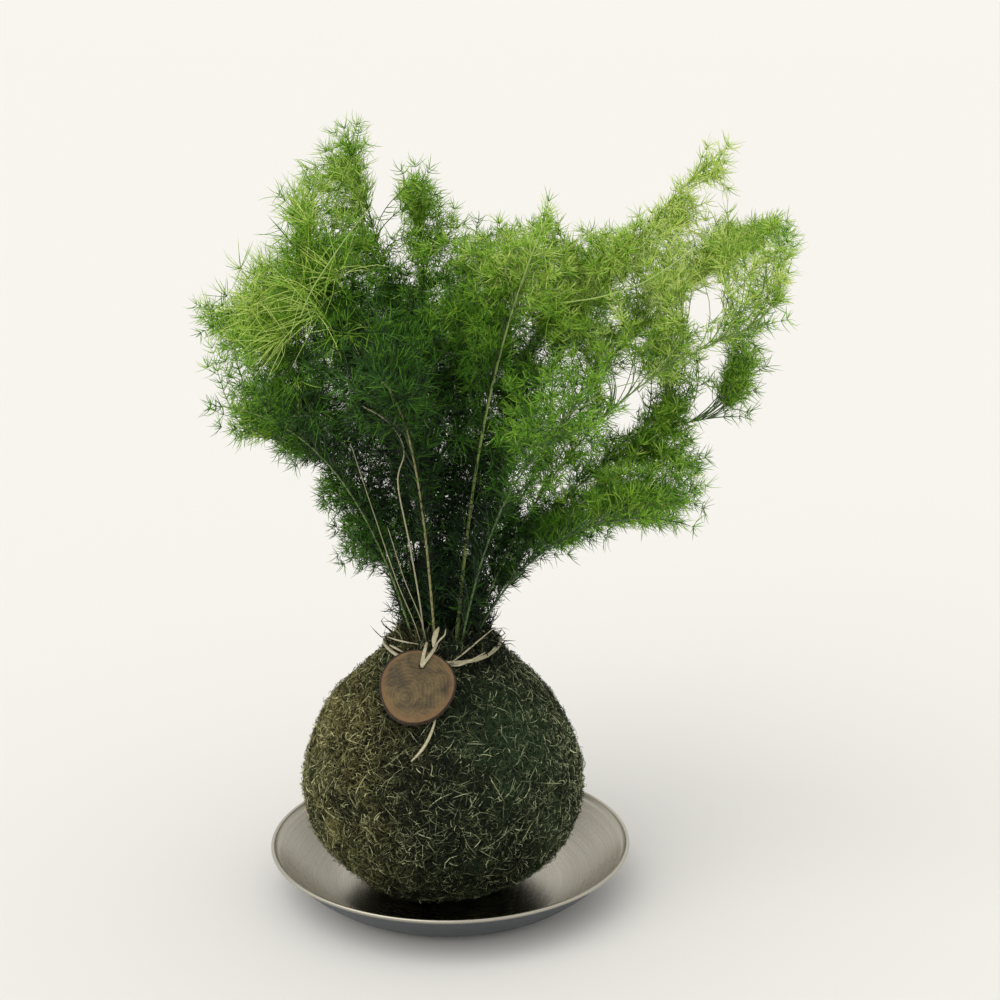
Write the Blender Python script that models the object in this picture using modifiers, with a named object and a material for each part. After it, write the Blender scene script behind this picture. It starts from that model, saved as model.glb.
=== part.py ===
"""Kokedama: an asparagus fern that grows from a moss-wrapped soil ball in a shallow steel dish.

Run it with: blender --background --python part.py
Units are metres, +Z is up, +X is right and -Y is the front. The origin is the centre of the dish's foot.

The ball is a soil core wrapped in a thick moss shell that is open at the neck. The plant's crown sits in a
pocket of the soil. Each frond is a bare stem standing on the crown and a leafy spray that carries on from the
stem's end. A wood slice hangs at the neck on a strip of raffia. Pieces that touch keep the gap FIT_GAP.
"""

import math

import bmesh
import bpy
from mathutils import Matrix, Vector

# Driving dimensions
FIT_GAP = 0.0003

DISH_RADIUS = 0.0908
DISH_HEIGHT = 0.0242
DISH_FOOT_RADIUS = 0.056
DISH_SHEET = 0.0010
DISH_RIM_BEAD = 0.0009
DISH_WALL_CURVE = 1.7
DISH_WALL_POINTS = 6
DISH_BEAD_DEGREES = (200, 140, 80, 20, -40)
DISH_STEPS = 52

BALL_X = -0.0034
BALL_RADIUS = 0.0690
BALL_EQUATOR_Z = 0.0600
BALL_REST_RADIUS = 0.014
MOSS_THICKNESS = 0.012
# The shoulder of the moss above its widest ring, as (radius, z) from the lip down
MOSS_SHOULDER = (
    (0.0245, 0.1330),
    (0.0275, 0.1265),
    (0.0341, 0.1190),
    (0.0441, 0.1090),
    (0.0553, 0.0970),
    (0.0634, 0.0820),
    (0.0676, 0.0700),
)
MOSS_MOUTH_RADIUS = 0.0210
MOSS_CEILING_Z = 0.1120
BALL_STEPS = 32

CROWN_RADIUS = 0.0172
CROWN_BOTTOM_Z = 0.1040
CROWN_TOP_Z = 0.1150

TUBE_SIDES = 6
TWIG_SIDES = 5

STEM_ROOT_RADIUS = 0.0011
STEM_END_RADIUS = 0.0007
STEM_SEGMENTS = 7
STEM_FOOT = 0.0012
STEM_RING_RADIUS = 0.0118
NECK_LEAN = math.radians(19)
FROND_DROOP = 0.25
FROND_RISE_SHARE = 0.42
FROND_END_SHARE = 0.34
SPRAY_START = 0.30
SPRAY_SEGMENTS = 7
SPRAY_END_RADIUS = 0.0005
TWIG_PLUME_RADIUS = 0.0040
TWIG_RADII = (0.0004, 0.0034, TWIG_PLUME_RADIUS, 0.0006)
TWIG_CLEARANCE = 0.0008
TWIG_LENGTH = 0.052
TWIG_SHORTENING = 0.62
TWIGS_PER_NODE = 2
TWIG_ATTEMPTS = 12
TWIG_TURN_STEP = math.radians(26)
TWIG_SPREAD = math.radians(52)
GOLDEN_ANGLE = math.radians(137.5)

TAG_CENTRE = Vector((-0.0142, -0.0405, 0.1199))
TAG_TILT = math.radians(38)
TAG_HALF_WIDTH = 0.0179
TAG_HALF_HEIGHT = 0.0188
TAG_THICKNESS = 0.0036
TAG_HOLE_RADIUS = 0.0015
TAG_HOLE_UP = 0.0098
TAG_HOLE_RIGHT = 0.0021

RAFFIA_RADIUS = 0.0008
HANGER_RADIUS = 0.0006
END_RADIUS = 0.00088
BAND_RADIUS = 0.0288
BAND_Z = 0.1275
RAFFIA_POINTS = 4
# The hanger: where it starts and ends at the neck, and its stops between them as (out of the tag's face, up
# the face) from the hole's middle
HANGER_START = (-0.0100, -0.0290, 0.1294)
HANGER_STOPS = ((-0.0040, 0.0), (0.0016, 0.0), (0.0040, 0.0026), (0.0034, 0.0080), (0.0, 0.0122))
HANGER_END = (-0.0130, -0.0272, 0.1302)
# Stops of the two free ends
SIDE_END = (
    (0.0021, -0.0312, 0.1272),
    (0.0059, -0.0305, 0.1274),
    (0.0107, -0.0280, 0.1284),
    (0.0178, -0.0220, 0.1302),
)
LOW_END = (
    (-0.0065, -0.0516, 0.1037),
    (-0.0092, -0.0560, 0.0985),
    (-0.0129, -0.0584, 0.0939),
    (-0.0166, -0.0596, 0.0904),
)

# Each frond: its tip (x, y, z), how far its end arches over (0 straight, 1 level), and how far out on the
# crown it stands (0 middle, 1 edge).
FRONDS = (
    ((-0.047, 0.006, 0.378), 0.10, 0.45),
    ((-0.080, -0.030, 0.342), 0.30, 0.75),
    ((-0.120, 0.014, 0.294), 0.55, 0.95),
    ((-0.102, -0.068, 0.262), 0.70, 1.00),
    ((-0.106, 0.052, 0.236), 0.80, 1.00),
    ((-0.088, -0.018, 0.236), 0.80, 1.08),
    ((-0.016, 0.040, 0.358), 0.10, 0.55),
    ((0.047, -0.038, 0.344), 0.15, 0.60),
    ((0.014, 0.096, 0.326), 0.35, 0.90),
    ((0.132, 0.010, 0.370), 0.30, 0.55),
    ((0.160, 0.054, 0.320), 0.55, 0.80),
    ((0.154, -0.042, 0.296), 0.60, 0.85),
    ((0.144, 0.012, 0.240), 0.85, 1.05),
    ((0.112, -0.066, 0.206), 0.95, 0.96),
    ((0.090, 0.066, 0.184), 0.95, 0.98),
    ((0.082, 0.082, 0.322), 0.40, 0.75),
    ((-0.010, 0.128, 0.262), 0.70, 1.12),
    ((-0.066, 0.104, 0.272), 0.65, 1.00),
    ((-0.024, -0.114, 0.282), 0.55, 1.05),
    ((0.066, -0.112, 0.262), 0.65, 1.10),
)
# The dead stalk: where its foot stands on the crown (x, y), and the stops its centre line passes after it.
DRY_STALK = (
    (-0.0108, -0.0128),
    (-0.0124, -0.0212, 0.148),
    (-0.0168, -0.0410, 0.190),
    (-0.0214, -0.0500, 0.222),
    (-0.0190, -0.0520, 0.238),
    (-0.0375, -0.0505, 0.258),
)
DRY_STALK_ROOT_RADIUS = 0.0007
DRY_STALK_END_RADIUS = 0.0004


def clear_scene():
    """Remove whatever the file holds before the part is made."""
    for obj in list(bpy.data.objects):
        bpy.data.objects.remove(obj)


def new_collection(name, hidden=False):
    collection = bpy.data.collections.new(name)
    collection.hide_render = hidden
    bpy.context.scene.collection.children.link(collection)
    return collection


def make_material(name, colour, roughness, metallic=0.0):
    """A Principled material with one colour."""
    material = bpy.data.materials.new(name)
    material.use_nodes = True
    shader = material.node_tree.nodes["Principled BSDF"]
    shader.inputs["Base Color"].default_value = (*colour, 1.0)
    shader.inputs["Roughness"].default_value = roughness
    shader.inputs["Metallic"].default_value = metallic
    material.diffuse_color = (*colour, 1.0)
    return material


def add_object(name, data, collection, material):
    obj = bpy.data.objects.new(name, data)
    data.materials.append(material)
    collection.objects.link(obj)
    return obj


def turned(name, profile, steps, collection, material, x=0.0):
    """A solid of revolution about the vertical line at x.

    The profile is (radius, z) points. One that starts and ends on the axis is left open there, and any other
    is closed into a ring.
    """
    mesh = bpy.data.meshes.new(name)
    shape = bmesh.new()
    points = [shape.verts.new((radius, 0.0, z)) for radius, z in profile]
    for first, second in zip(points, points[1:]):
        shape.edges.new((first, second))
    if profile[0][0] > 0.0:
        shape.edges.new((points[-1], points[0]))
    shape.to_mesh(mesh)
    shape.free()
    obj = add_object(name, mesh, collection, material)
    obj.location.x = x
    screw = obj.modifiers.new("Turn", "SCREW")
    screw.steps = steps
    screw.render_steps = steps
    screw.use_merge_vertices = True
    screw.merge_threshold = 0.00001
    mesh.shade_smooth()
    return obj


def add_disc(shape, radius, height, sides):
    """Adds an upright closed disc, centred on the origin, to a bmesh."""
    bmesh.ops.create_cone(shape, cap_ends=True, segments=sides, radius1=radius, radius2=radius, depth=height)


def loft(shape, points, radii, sides=TUBE_SIDES):
    """Adds a tapering tube with closed ends along points, ring by ring, to a bmesh."""
    way = (points[1] - points[0]).normalized()
    across = way.orthogonal().normalized()
    rings = []
    for index, (point, radius) in enumerate(zip(points, radii)):
        ahead = points[min(index + 1, len(points) - 1)] - points[max(index - 1, 0)]
        across = (across - ahead * (across.dot(ahead) / ahead.length_squared)).normalized()
        other = ahead.normalized().cross(across)
        ring = []
        for side in range(sides):
            angle = math.tau * side / sides
            spoke = across * math.cos(angle) + other * math.sin(angle)
            ring.append(shape.verts.new(point + spoke * radius))
        rings.append(ring)
    for low, high in zip(rings, rings[1:]):
        for side in range(sides):
            after = (side + 1) % sides
            shape.faces.new((low[side], low[after], high[after], high[side])).smooth = True
    shape.faces.new(reversed(rings[0]))
    shape.faces.new(rings[-1])


def tube(name, points, radii, collection, material):
    """An object that is one tapering tube along points."""
    mesh = bpy.data.meshes.new(name)
    shape = bmesh.new()
    loft(shape, points, radii)
    shape.to_mesh(mesh)
    shape.free()
    return add_object(name, mesh, collection, material)


def bezier(corners, share):
    """The point at share (0 to 1) of the cubic curve with these four corners."""
    rest = 1.0 - share
    weights = (rest**3, 3 * rest**2 * share, 3 * rest * share**2, share**3)
    return sum((corner * weight for corner, weight in zip(corners, weights)), Vector((0.0, 0.0, 0.0)))


def smooth_route(stops, per_stretch):
    """Points of one smooth curve through all the stops."""
    stops = [Vector(stop) for stop in stops]
    padded = [2 * stops[0] - stops[1], *stops, 2 * stops[-1] - stops[-2]]
    route = []
    for before, start, end, after in zip(padded, padded[1:], padded[2:], padded[3:]):
        corners = (start, start + (end - before) / 6, end - (after - start) / 6, end)
        route += [bezier(corners, step / per_stretch) for step in range(per_stretch)]
    return [*route, stops[-1]]


def ball_outline(inset, from_z, to_z, count):
    """Points (radius, z), from the top down, on the ball's side with the surface moved in by inset."""
    radius = BALL_RADIUS - inset
    squash = (BALL_EQUATOR_Z - DISH_SHEET - FIT_GAP) / math.sqrt(BALL_RADIUS**2 - BALL_REST_RADIUS**2)
    outline = []
    for index in range(count):
        z = from_z + (to_z - from_z) * index / (count - 1)
        rise = (z - BALL_EQUATOR_Z) / (squash if z < BALL_EQUATOR_Z else 1.0)
        outline.append((math.sqrt(max(radius**2 - rise**2, 0.0)), z))
    return outline


def build_dish(collection, material):
    """A spun steel dish: a flat foot, a wall that curves up and out, and a rolled bead at the rim."""
    wall_width = DISH_RADIUS - DISH_RIM_BEAD - DISH_FOOT_RADIUS
    wall_rise = DISH_HEIGHT - DISH_RIM_BEAD
    outer = []
    for index in range(DISH_WALL_POINTS + 1):
        share = index / DISH_WALL_POINTS
        outer.append((DISH_FOOT_RADIUS + wall_width * share, wall_rise * share**DISH_WALL_CURVE))
    inner = [(radius - DISH_SHEET * 0.5, z + DISH_SHEET) for radius, z in outer[:-1]]
    bead = []
    for degrees in DISH_BEAD_DEGREES:
        angle = math.radians(degrees)
        radius = DISH_RADIUS - DISH_RIM_BEAD * (1.0 - math.cos(angle))
        bead.append((radius, DISH_HEIGHT - DISH_RIM_BEAD * (1.0 - math.sin(angle))))
    profile = [(0.0, DISH_SHEET), *inner, *bead, *reversed(outer[:-1]), (0.0, 0.0)]
    return turned("dish", profile, DISH_STEPS, collection, material)


def build_moss_wrap(collection, material):
    """The moss shell: round outside, closed under the soil, with a neck that is open for the stems."""
    rest_z = DISH_SHEET + FIT_GAP
    side = ball_outline(0.0, BALL_EQUATOR_Z, rest_z, 9)
    hollow = ball_outline(MOSS_THICKNESS, MOSS_CEILING_Z, rest_z + MOSS_THICKNESS, 9)
    inside = [(0.0, rest_z + MOSS_THICKNESS), *reversed(hollow), (MOSS_MOUTH_RADIUS, MOSS_CEILING_Z)]
    profile = [*inside, (MOSS_MOUTH_RADIUS, MOSS_SHOULDER[0][1]), *MOSS_SHOULDER, *side, (0.0, rest_z)]
    return turned("moss_wrap", profile, BALL_STEPS, collection, material, BALL_X)


def build_soil_core(collection, material):
    """The soil ball inside the moss, with a pocket in its top for the crown."""
    hollow = ball_outline(MOSS_THICKNESS, MOSS_CEILING_Z, DISH_SHEET + FIT_GAP + MOSS_THICKNESS, 9)
    shrink = 1.0 - 1.15 * FIT_GAP / (BALL_RADIUS - MOSS_THICKNESS)
    side = [(radius * shrink, BALL_EQUATOR_Z + (z - BALL_EQUATOR_Z) * shrink) for radius, z in hollow]
    pocket_radius = CROWN_RADIUS + FIT_GAP
    pocket_z = CROWN_BOTTOM_Z - FIT_GAP
    pocket = [(0.0, pocket_z), (pocket_radius, pocket_z), (pocket_radius, side[0][1])]
    profile = [*pocket, *side, (0.0, side[-1][1])]
    return turned("soil_core", profile, BALL_STEPS, collection, material, BALL_X)


def build_crown(collection, material):
    """The plant's crown, a low woody disc with a bevelled edge."""
    height = CROWN_TOP_Z - CROWN_BOTTOM_Z
    mesh = bpy.data.meshes.new("root_crown")
    shape = bmesh.new()
    add_disc(shape, CROWN_RADIUS, height, 20)
    shape.to_mesh(mesh)
    shape.free()
    obj = add_object("root_crown", mesh, collection, material)
    obj.location = (BALL_X, 0.0, CROWN_BOTTOM_Z + height / 2)
    bevel = obj.modifiers.new("Round", "BEVEL")
    bevel.width = 0.0015
    bevel.segments = 2
    return obj


def frond_corners(tip, arch, base_share):
    """The four corners of a frond's cubic centre line, from the crown to its tip.

    base_share says how far from the middle of the crown the frond stands. It leaves the crown nearly upright,
    so that it passes the neck, and arch turns its end outwards.
    """
    tip = Vector(tip)
    outward = Vector((tip.x - BALL_X, tip.y, 0.0))
    lean = math.atan2(outward.length, tip.z - CROWN_TOP_Z)
    outward.normalize()
    base = Vector((BALL_X, 0.0, CROWN_TOP_Z + FIT_GAP)) + outward * STEM_RING_RADIUS * base_share
    length = (tip - base).length
    rise = Vector((0.0, 0.0, 1.0)) + outward * math.tan(min(lean * 0.4, NECK_LEAN))
    level = math.radians(90) * arch
    straight = (tip - base).normalized()
    over = outward - Vector((0.0, 0.0, FROND_DROOP * arch))
    end_way = (straight * math.cos(level) + over * math.sin(level)).normalized()
    low_corner = base + rise.normalized() * length * FROND_RISE_SHARE
    return base, low_corner, tip - end_way * length * FROND_END_SHARE, tip


def segment_gap(first, second):
    """The least distance between two straight segments, each a pair of points."""
    (start_a, end_a), (start_b, end_b) = first, second
    way_a, way_b, between = end_a - start_a, end_b - start_b, start_a - start_b
    aa, bb, ab = way_a.dot(way_a), way_b.dot(way_b), way_a.dot(way_b)
    da, db = way_a.dot(between), way_b.dot(between)
    flat = aa * bb - ab * ab
    along_a = min(1.0, max(0.0, (ab * db - bb * da) / flat)) if flat > 1e-18 else 0.0
    along_b = min(1.0, max(0.0, (ab * along_a + db) / bb))
    along_a = min(1.0, max(0.0, (ab * along_b - da) / aa))
    return (between + way_a * along_a - way_b * along_b).length


def route_is_clear(route, radius, taken):
    """True if a tube of that radius along route keeps TWIG_CLEARANCE to every taken (segment, radius)."""
    for segment in zip(route, route[1:]):
        for other, other_radius in taken:
            if segment_gap(segment, other) < radius + other_radius + TWIG_CLEARANCE:
                return False
    return True


def twig_route(root, axis_way, turn, length):
    """Three straight stretches that leave the axis at TWIG_SPREAD and bend a little towards its way."""
    side = axis_way.orthogonal().normalized()
    side.rotate(Matrix.Rotation(turn, 3, axis_way))
    way = axis_way * math.cos(TWIG_SPREAD) + side * math.sin(TWIG_SPREAD)
    route = [root]
    for _ in range(3):
        route.append(route[-1] + way * length / 3)
        way = (way + axis_way * 0.16 + Vector((0.0, 0.0, 0.05))).normalized()
    return route


def spray_axis(corners):
    """Points and radii of a spray's axis, which starts FIT_GAP above the end of its stem."""
    points, radii = [], []
    for index in range(SPRAY_SEGMENTS + 1):
        share = index / SPRAY_SEGMENTS
        points.append(bezier(corners, SPRAY_START + (1.0 - SPRAY_START) * share))
        radii.append(STEM_END_RADIUS + (SPRAY_END_RADIUS - STEM_END_RADIUS) * share)
    points[0] = points[0] + (points[1] - points[0]).normalized() * FIT_GAP
    return points, radii


def spray_twigs(axis, taken, first_turn):
    """Routes of the twigs on one axis. Each is turned until it is clear of what is taken, or left out."""
    routes = []
    own = []
    axis_segments = list(zip(axis, axis[1:]))
    for index in range(1, SPRAY_SEGMENTS):
        axis_way = (axis[index + 1] - axis[index - 1]).normalized()
        length = TWIG_LENGTH * (1.0 - TWIG_SHORTENING * (index - 1) / (SPRAY_SEGMENTS - 1))
        far_axis = axis_segments[: index - 1] + axis_segments[index + 1 :]
        barred = taken + [(piece, STEM_END_RADIUS) for piece in far_axis]
        for twin in range(TWIGS_PER_NODE):
            for attempt in range(TWIG_ATTEMPTS):
                twin_turn = math.tau * twin / TWIGS_PER_NODE
                turn = first_turn + GOLDEN_ANGLE * index + twin_turn + TWIG_TURN_STEP * attempt
                route = twig_route(axis[index], axis_way, turn, length)
                if route_is_clear(route[1:], TWIG_PLUME_RADIUS, barred + own):
                    routes.append(route)
                    own += [(piece, TWIG_PLUME_RADIUS) for piece in zip(route[1:], route[2:])]
                    break
    return routes, own


def build_spray(name, axis, radii, routes, collection, cutters, material):
    """A spray: its axis joined to its twigs, each as thick as its plume of needles."""
    spray = tube(name, axis, radii, collection, material)
    mesh = bpy.data.meshes.new(f"{name}_twigs")
    shape = bmesh.new()
    for route in routes:
        loft(shape, route, TWIG_RADII, TWIG_SIDES)
    shape.to_mesh(mesh)
    shape.free()
    twigs = add_object(f"{name}_twigs", mesh, cutters, material)
    twigs.hide_render = True
    twigs.display_type = "WIRE"
    join = spray.modifiers.new("Twigs", "BOOLEAN")
    join.operation = "UNION"
    join.solver = "EXACT"
    join.use_self = True
    join.object = twigs
    return spray


def build_fronds(collection, cutters, stem_material, spray_material):
    """Every frond: all stems and spray axes first, then the twigs, each kept clear of what is there."""
    centre_lines = [frond_corners(*frond) for frond in FRONDS]
    taken = []
    for corners in centre_lines:
        line = [bezier(corners, step / 14) for step in range(15)]
        taken.append([(segment, STEM_ROOT_RADIUS) for segment in zip(line, line[1:])])
    dry = dry_stalk_route()
    twigs = [(segment, DRY_STALK_ROOT_RADIUS) for segment in zip(dry, dry[1:])]
    for number, corners in enumerate(centre_lines):
        shares = [SPRAY_START * step / STEM_SEGMENTS for step in range(STEM_SEGMENTS + 1)]
        points = [bezier(corners, share) for share in shares]
        points.insert(1, points[0] + Vector((0.0, 0.0, STEM_FOOT)))
        fall = (STEM_END_RADIUS - STEM_ROOT_RADIUS) / STEM_SEGMENTS
        radii = [STEM_ROOT_RADIUS, *(STEM_ROOT_RADIUS + fall * step for step in range(STEM_SEGMENTS + 1))]
        tube(f"stem_{number + 1:02d}", points, radii, collection, stem_material)
        others = [piece for index, line in enumerate(taken) if index != number for piece in line]
        axis, axis_radii = spray_axis(corners)
        routes, own = spray_twigs(axis, others + twigs, GOLDEN_ANGLE * number)
        twigs += own
        build_spray(f"spray_{number + 1:02d}", axis, axis_radii, routes, collection, cutters, spray_material)


def tag_matrix():
    """Places the tag: its face looks forward and up, and its bottom edge leans on the ball."""
    return Matrix.Translation(TAG_CENTRE) @ Matrix.Rotation(math.radians(90) - TAG_TILT, 4, "X")


def build_tag(collection, cutters, material):
    """A slice of a branch: a flat, slightly oval disc with a hole near its top."""
    mesh = bpy.data.meshes.new("wood_tag")
    shape = bmesh.new()
    add_disc(shape, 1.0, TAG_THICKNESS, 32)
    bmesh.ops.scale(shape, vec=(TAG_HALF_WIDTH, TAG_HALF_HEIGHT, 1.0), verts=shape.verts)
    shape.to_mesh(mesh)
    shape.free()
    tag = add_object("wood_tag", mesh, collection, material)
    tag.matrix_world = tag_matrix()
    drill_mesh = bpy.data.meshes.new("tag_drill")
    drill_shape = bmesh.new()
    add_disc(drill_shape, TAG_HOLE_RADIUS, TAG_THICKNESS * 3, 14)
    drill_shape.to_mesh(drill_mesh)
    drill_shape.free()
    drill = add_object("tag_drill", drill_mesh, cutters, material)
    drill.matrix_world = tag_matrix() @ Matrix.Translation((TAG_HOLE_RIGHT, TAG_HOLE_UP, 0.0))
    drill.hide_render = True
    drill.display_type = "WIRE"
    cut = tag.modifiers.new("Hole", "BOOLEAN")
    cut.operation = "DIFFERENCE"
    cut.object = drill
    return tag


def build_raffia(collection, material):
    """The raffia: a band round the neck, a strip through the tag's hole, and two free ends."""
    band = []
    for step in range(8):
        angle = math.tau * step / 8
        band.append((BAND_RADIUS + RAFFIA_RADIUS * math.cos(angle), BAND_Z + RAFFIA_RADIUS * math.sin(angle)))
    turned("raffia_band", band[::-1], 32, collection, material, BALL_X)
    hole = tag_matrix() @ Vector((TAG_HOLE_RIGHT, TAG_HOLE_UP, 0.0))
    face_way = tag_matrix().to_3x3() @ Vector((0.0, 0.0, 1.0))
    up_way = tag_matrix().to_3x3() @ Vector((0.0, 1.0, 0.0))
    through = [hole + face_way * out + up_way * up for out, up in HANGER_STOPS]
    routes = (
        ("raffia_hanger", (HANGER_START, *through, HANGER_END), HANGER_RADIUS),
        ("raffia_side_end", SIDE_END, END_RADIUS),
        ("raffia_low_end", LOW_END, END_RADIUS),
    )
    for name, stops, radius in routes:
        route = smooth_route(stops, RAFFIA_POINTS)
        tube(name, route, [radius] * len(route), collection, material)


def dry_stalk_route():
    """Points of the dry stalk's centre line, from the crown up."""
    (x, y), *rest = DRY_STALK
    foot_z = CROWN_TOP_Z + FIT_GAP
    return [Vector((x, y, foot_z)), *smooth_route(((x, y, foot_z + STEM_FOOT), *rest), 4)]


def build_dry_stalk(collection, material):
    """One dead stalk without leaves that stands among the stems and curls over."""
    route = dry_stalk_route()
    fall = (DRY_STALK_ROOT_RADIUS - DRY_STALK_END_RADIUS) / (len(route) - 1)
    radii = [DRY_STALK_ROOT_RADIUS - fall * index for index in range(len(route))]
    tube("dry_stalk", route, radii, collection, material)


def main():
    clear_scene()
    part = new_collection("kokedama")
    cutters = new_collection("cutters", hidden=True)
    steel = make_material("brushed_steel", (0.55, 0.54, 0.50), 0.30, 1.0)
    moss = make_material("moss", (0.16, 0.15, 0.08), 0.95)
    soil = make_material("soil", (0.07, 0.05, 0.035), 0.95)
    wood = make_material("wood", (0.42, 0.27, 0.13), 0.65)
    straw = make_material("raffia", (0.62, 0.55, 0.34), 0.70)
    stem = make_material("stem", (0.16, 0.25, 0.07), 0.55)
    leaf = make_material("leaf", (0.08, 0.22, 0.03), 0.60)

    build_dish(part, steel)
    build_moss_wrap(part, moss)
    build_soil_core(part, soil)
    build_crown(part, wood)
    build_fronds(part, cutters, stem, leaf)
    build_tag(part, cutters, wood)
    build_raffia(part, straw)
    build_dry_stalk(part, straw)


main()
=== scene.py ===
"""Looks of a kokedama: a feathery asparagus fern in a moss-wrapped soil ball on a shallow brushed steel dish.

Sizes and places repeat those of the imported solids. Fern, moss, tag, tie and dish are rebuilt here in finer
shape, and the two solids that are kept, the soil and the crown, get a finish of their own.
"""

import logging
import math
from dataclasses import dataclass, field
from enum import Enum
from typing import Iterable, Optional, Sequence, Union

import bpy
import numpy as np
from mathutils import Matrix, Vector


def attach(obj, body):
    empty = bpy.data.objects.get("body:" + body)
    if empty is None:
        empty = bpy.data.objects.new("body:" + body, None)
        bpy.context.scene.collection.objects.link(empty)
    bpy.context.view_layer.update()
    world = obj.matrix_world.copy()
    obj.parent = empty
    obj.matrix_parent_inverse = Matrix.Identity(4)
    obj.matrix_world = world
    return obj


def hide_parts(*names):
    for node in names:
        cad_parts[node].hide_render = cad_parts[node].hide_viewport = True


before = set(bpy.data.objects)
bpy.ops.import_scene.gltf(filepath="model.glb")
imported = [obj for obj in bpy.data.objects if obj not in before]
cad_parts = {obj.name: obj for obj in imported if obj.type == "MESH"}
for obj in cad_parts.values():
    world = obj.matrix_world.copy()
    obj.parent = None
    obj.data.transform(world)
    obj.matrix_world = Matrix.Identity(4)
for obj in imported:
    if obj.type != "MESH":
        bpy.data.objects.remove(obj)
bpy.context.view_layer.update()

LOG = logging.getLogger("kokedama")
BAKE_MAP = "OFBake"
PLANT_X = -0.0034
VIEWPOINT = (0.0251, -0.8604, 0.4268)
UP = np.array((0.0, 0.0, 1.0))
UP_VECTOR = Vector((0.0, 0.0, 1.0))
Colour = tuple[float, float, float]
Place = tuple[float, float, float]


# ---------------------------------------------------------------------------------- shader building


class NodeKind(Enum):
    """The shader nodes that the finishes use."""

    ATTRIBUTE = "ShaderNodeAttribute"
    BUMP = "ShaderNodeBump"
    COMBINE = "ShaderNodeCombineXYZ"
    COORDINATES = "ShaderNodeTexCoord"
    MAPPING = "ShaderNodeMapping"
    MATH = "ShaderNodeMath"
    MIX = "ShaderNodeMix"
    NOISE = "ShaderNodeTexNoise"
    RAMP = "ShaderNodeValToRGB"
    SEPARATE = "ShaderNodeSeparateXYZ"


class Blend(Enum):
    """Ways of laying one colour over another."""

    MIX = "MIX"
    MULTIPLY = "MULTIPLY"


class Sum(Enum):
    """The sums that Math nodes work out."""

    ADD = "ADD"
    SUBTRACT = "SUBTRACT"
    MULTIPLY = "MULTIPLY"
    POWER = "POWER"
    SINE = "SINE"
    ANGLE = "ARCTAN2"


class Value:
    """A number that varies over a surface. Arithmetic on it adds Math nodes."""

    def __init__(self, shader: "Shader", socket: bpy.types.NodeSocket) -> None:
        """Wraps one output socket of a shader."""
        self.shader = shader
        self.socket = socket

    def __add__(self, other: "Number") -> "Value":
        """self + other."""
        return self.shader.math(Sum.ADD, self, other)

    __radd__ = __add__

    def __sub__(self, other: "Number") -> "Value":
        """self - other."""
        return self.shader.math(Sum.SUBTRACT, self, other)

    def __rsub__(self, other: "Number") -> "Value":
        """other - self."""
        return self.shader.math(Sum.SUBTRACT, other, self)

    def __mul__(self, other: "Number") -> "Value":
        """self * other."""
        return self.shader.math(Sum.MULTIPLY, self, other)

    __rmul__ = __mul__

    def __pow__(self, other: "Number") -> "Value":
        """self ** other."""
        return self.shader.math(Sum.POWER, self, other)

    def __rpow__(self, other: "Number") -> "Value":
        """other ** self."""
        return self.shader.math(Sum.POWER, other, self)

    def clamped(self) -> "Value":
        """The same number held between 0 and 1."""
        return self.shader.math(Sum.ADD, self, 0.0, clamp=True)

    def step(self, low: float, high: float) -> "Value":
        """0 below low, 1 above high and a straight rise between them."""
        return ((self - low) * (1.0 / (high - low))).clamped()

    def sine(self) -> "Value":
        """The sine of the number in radians."""
        return self.shader.math(Sum.SINE, self)


Number = Union[float, Value]


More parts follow.
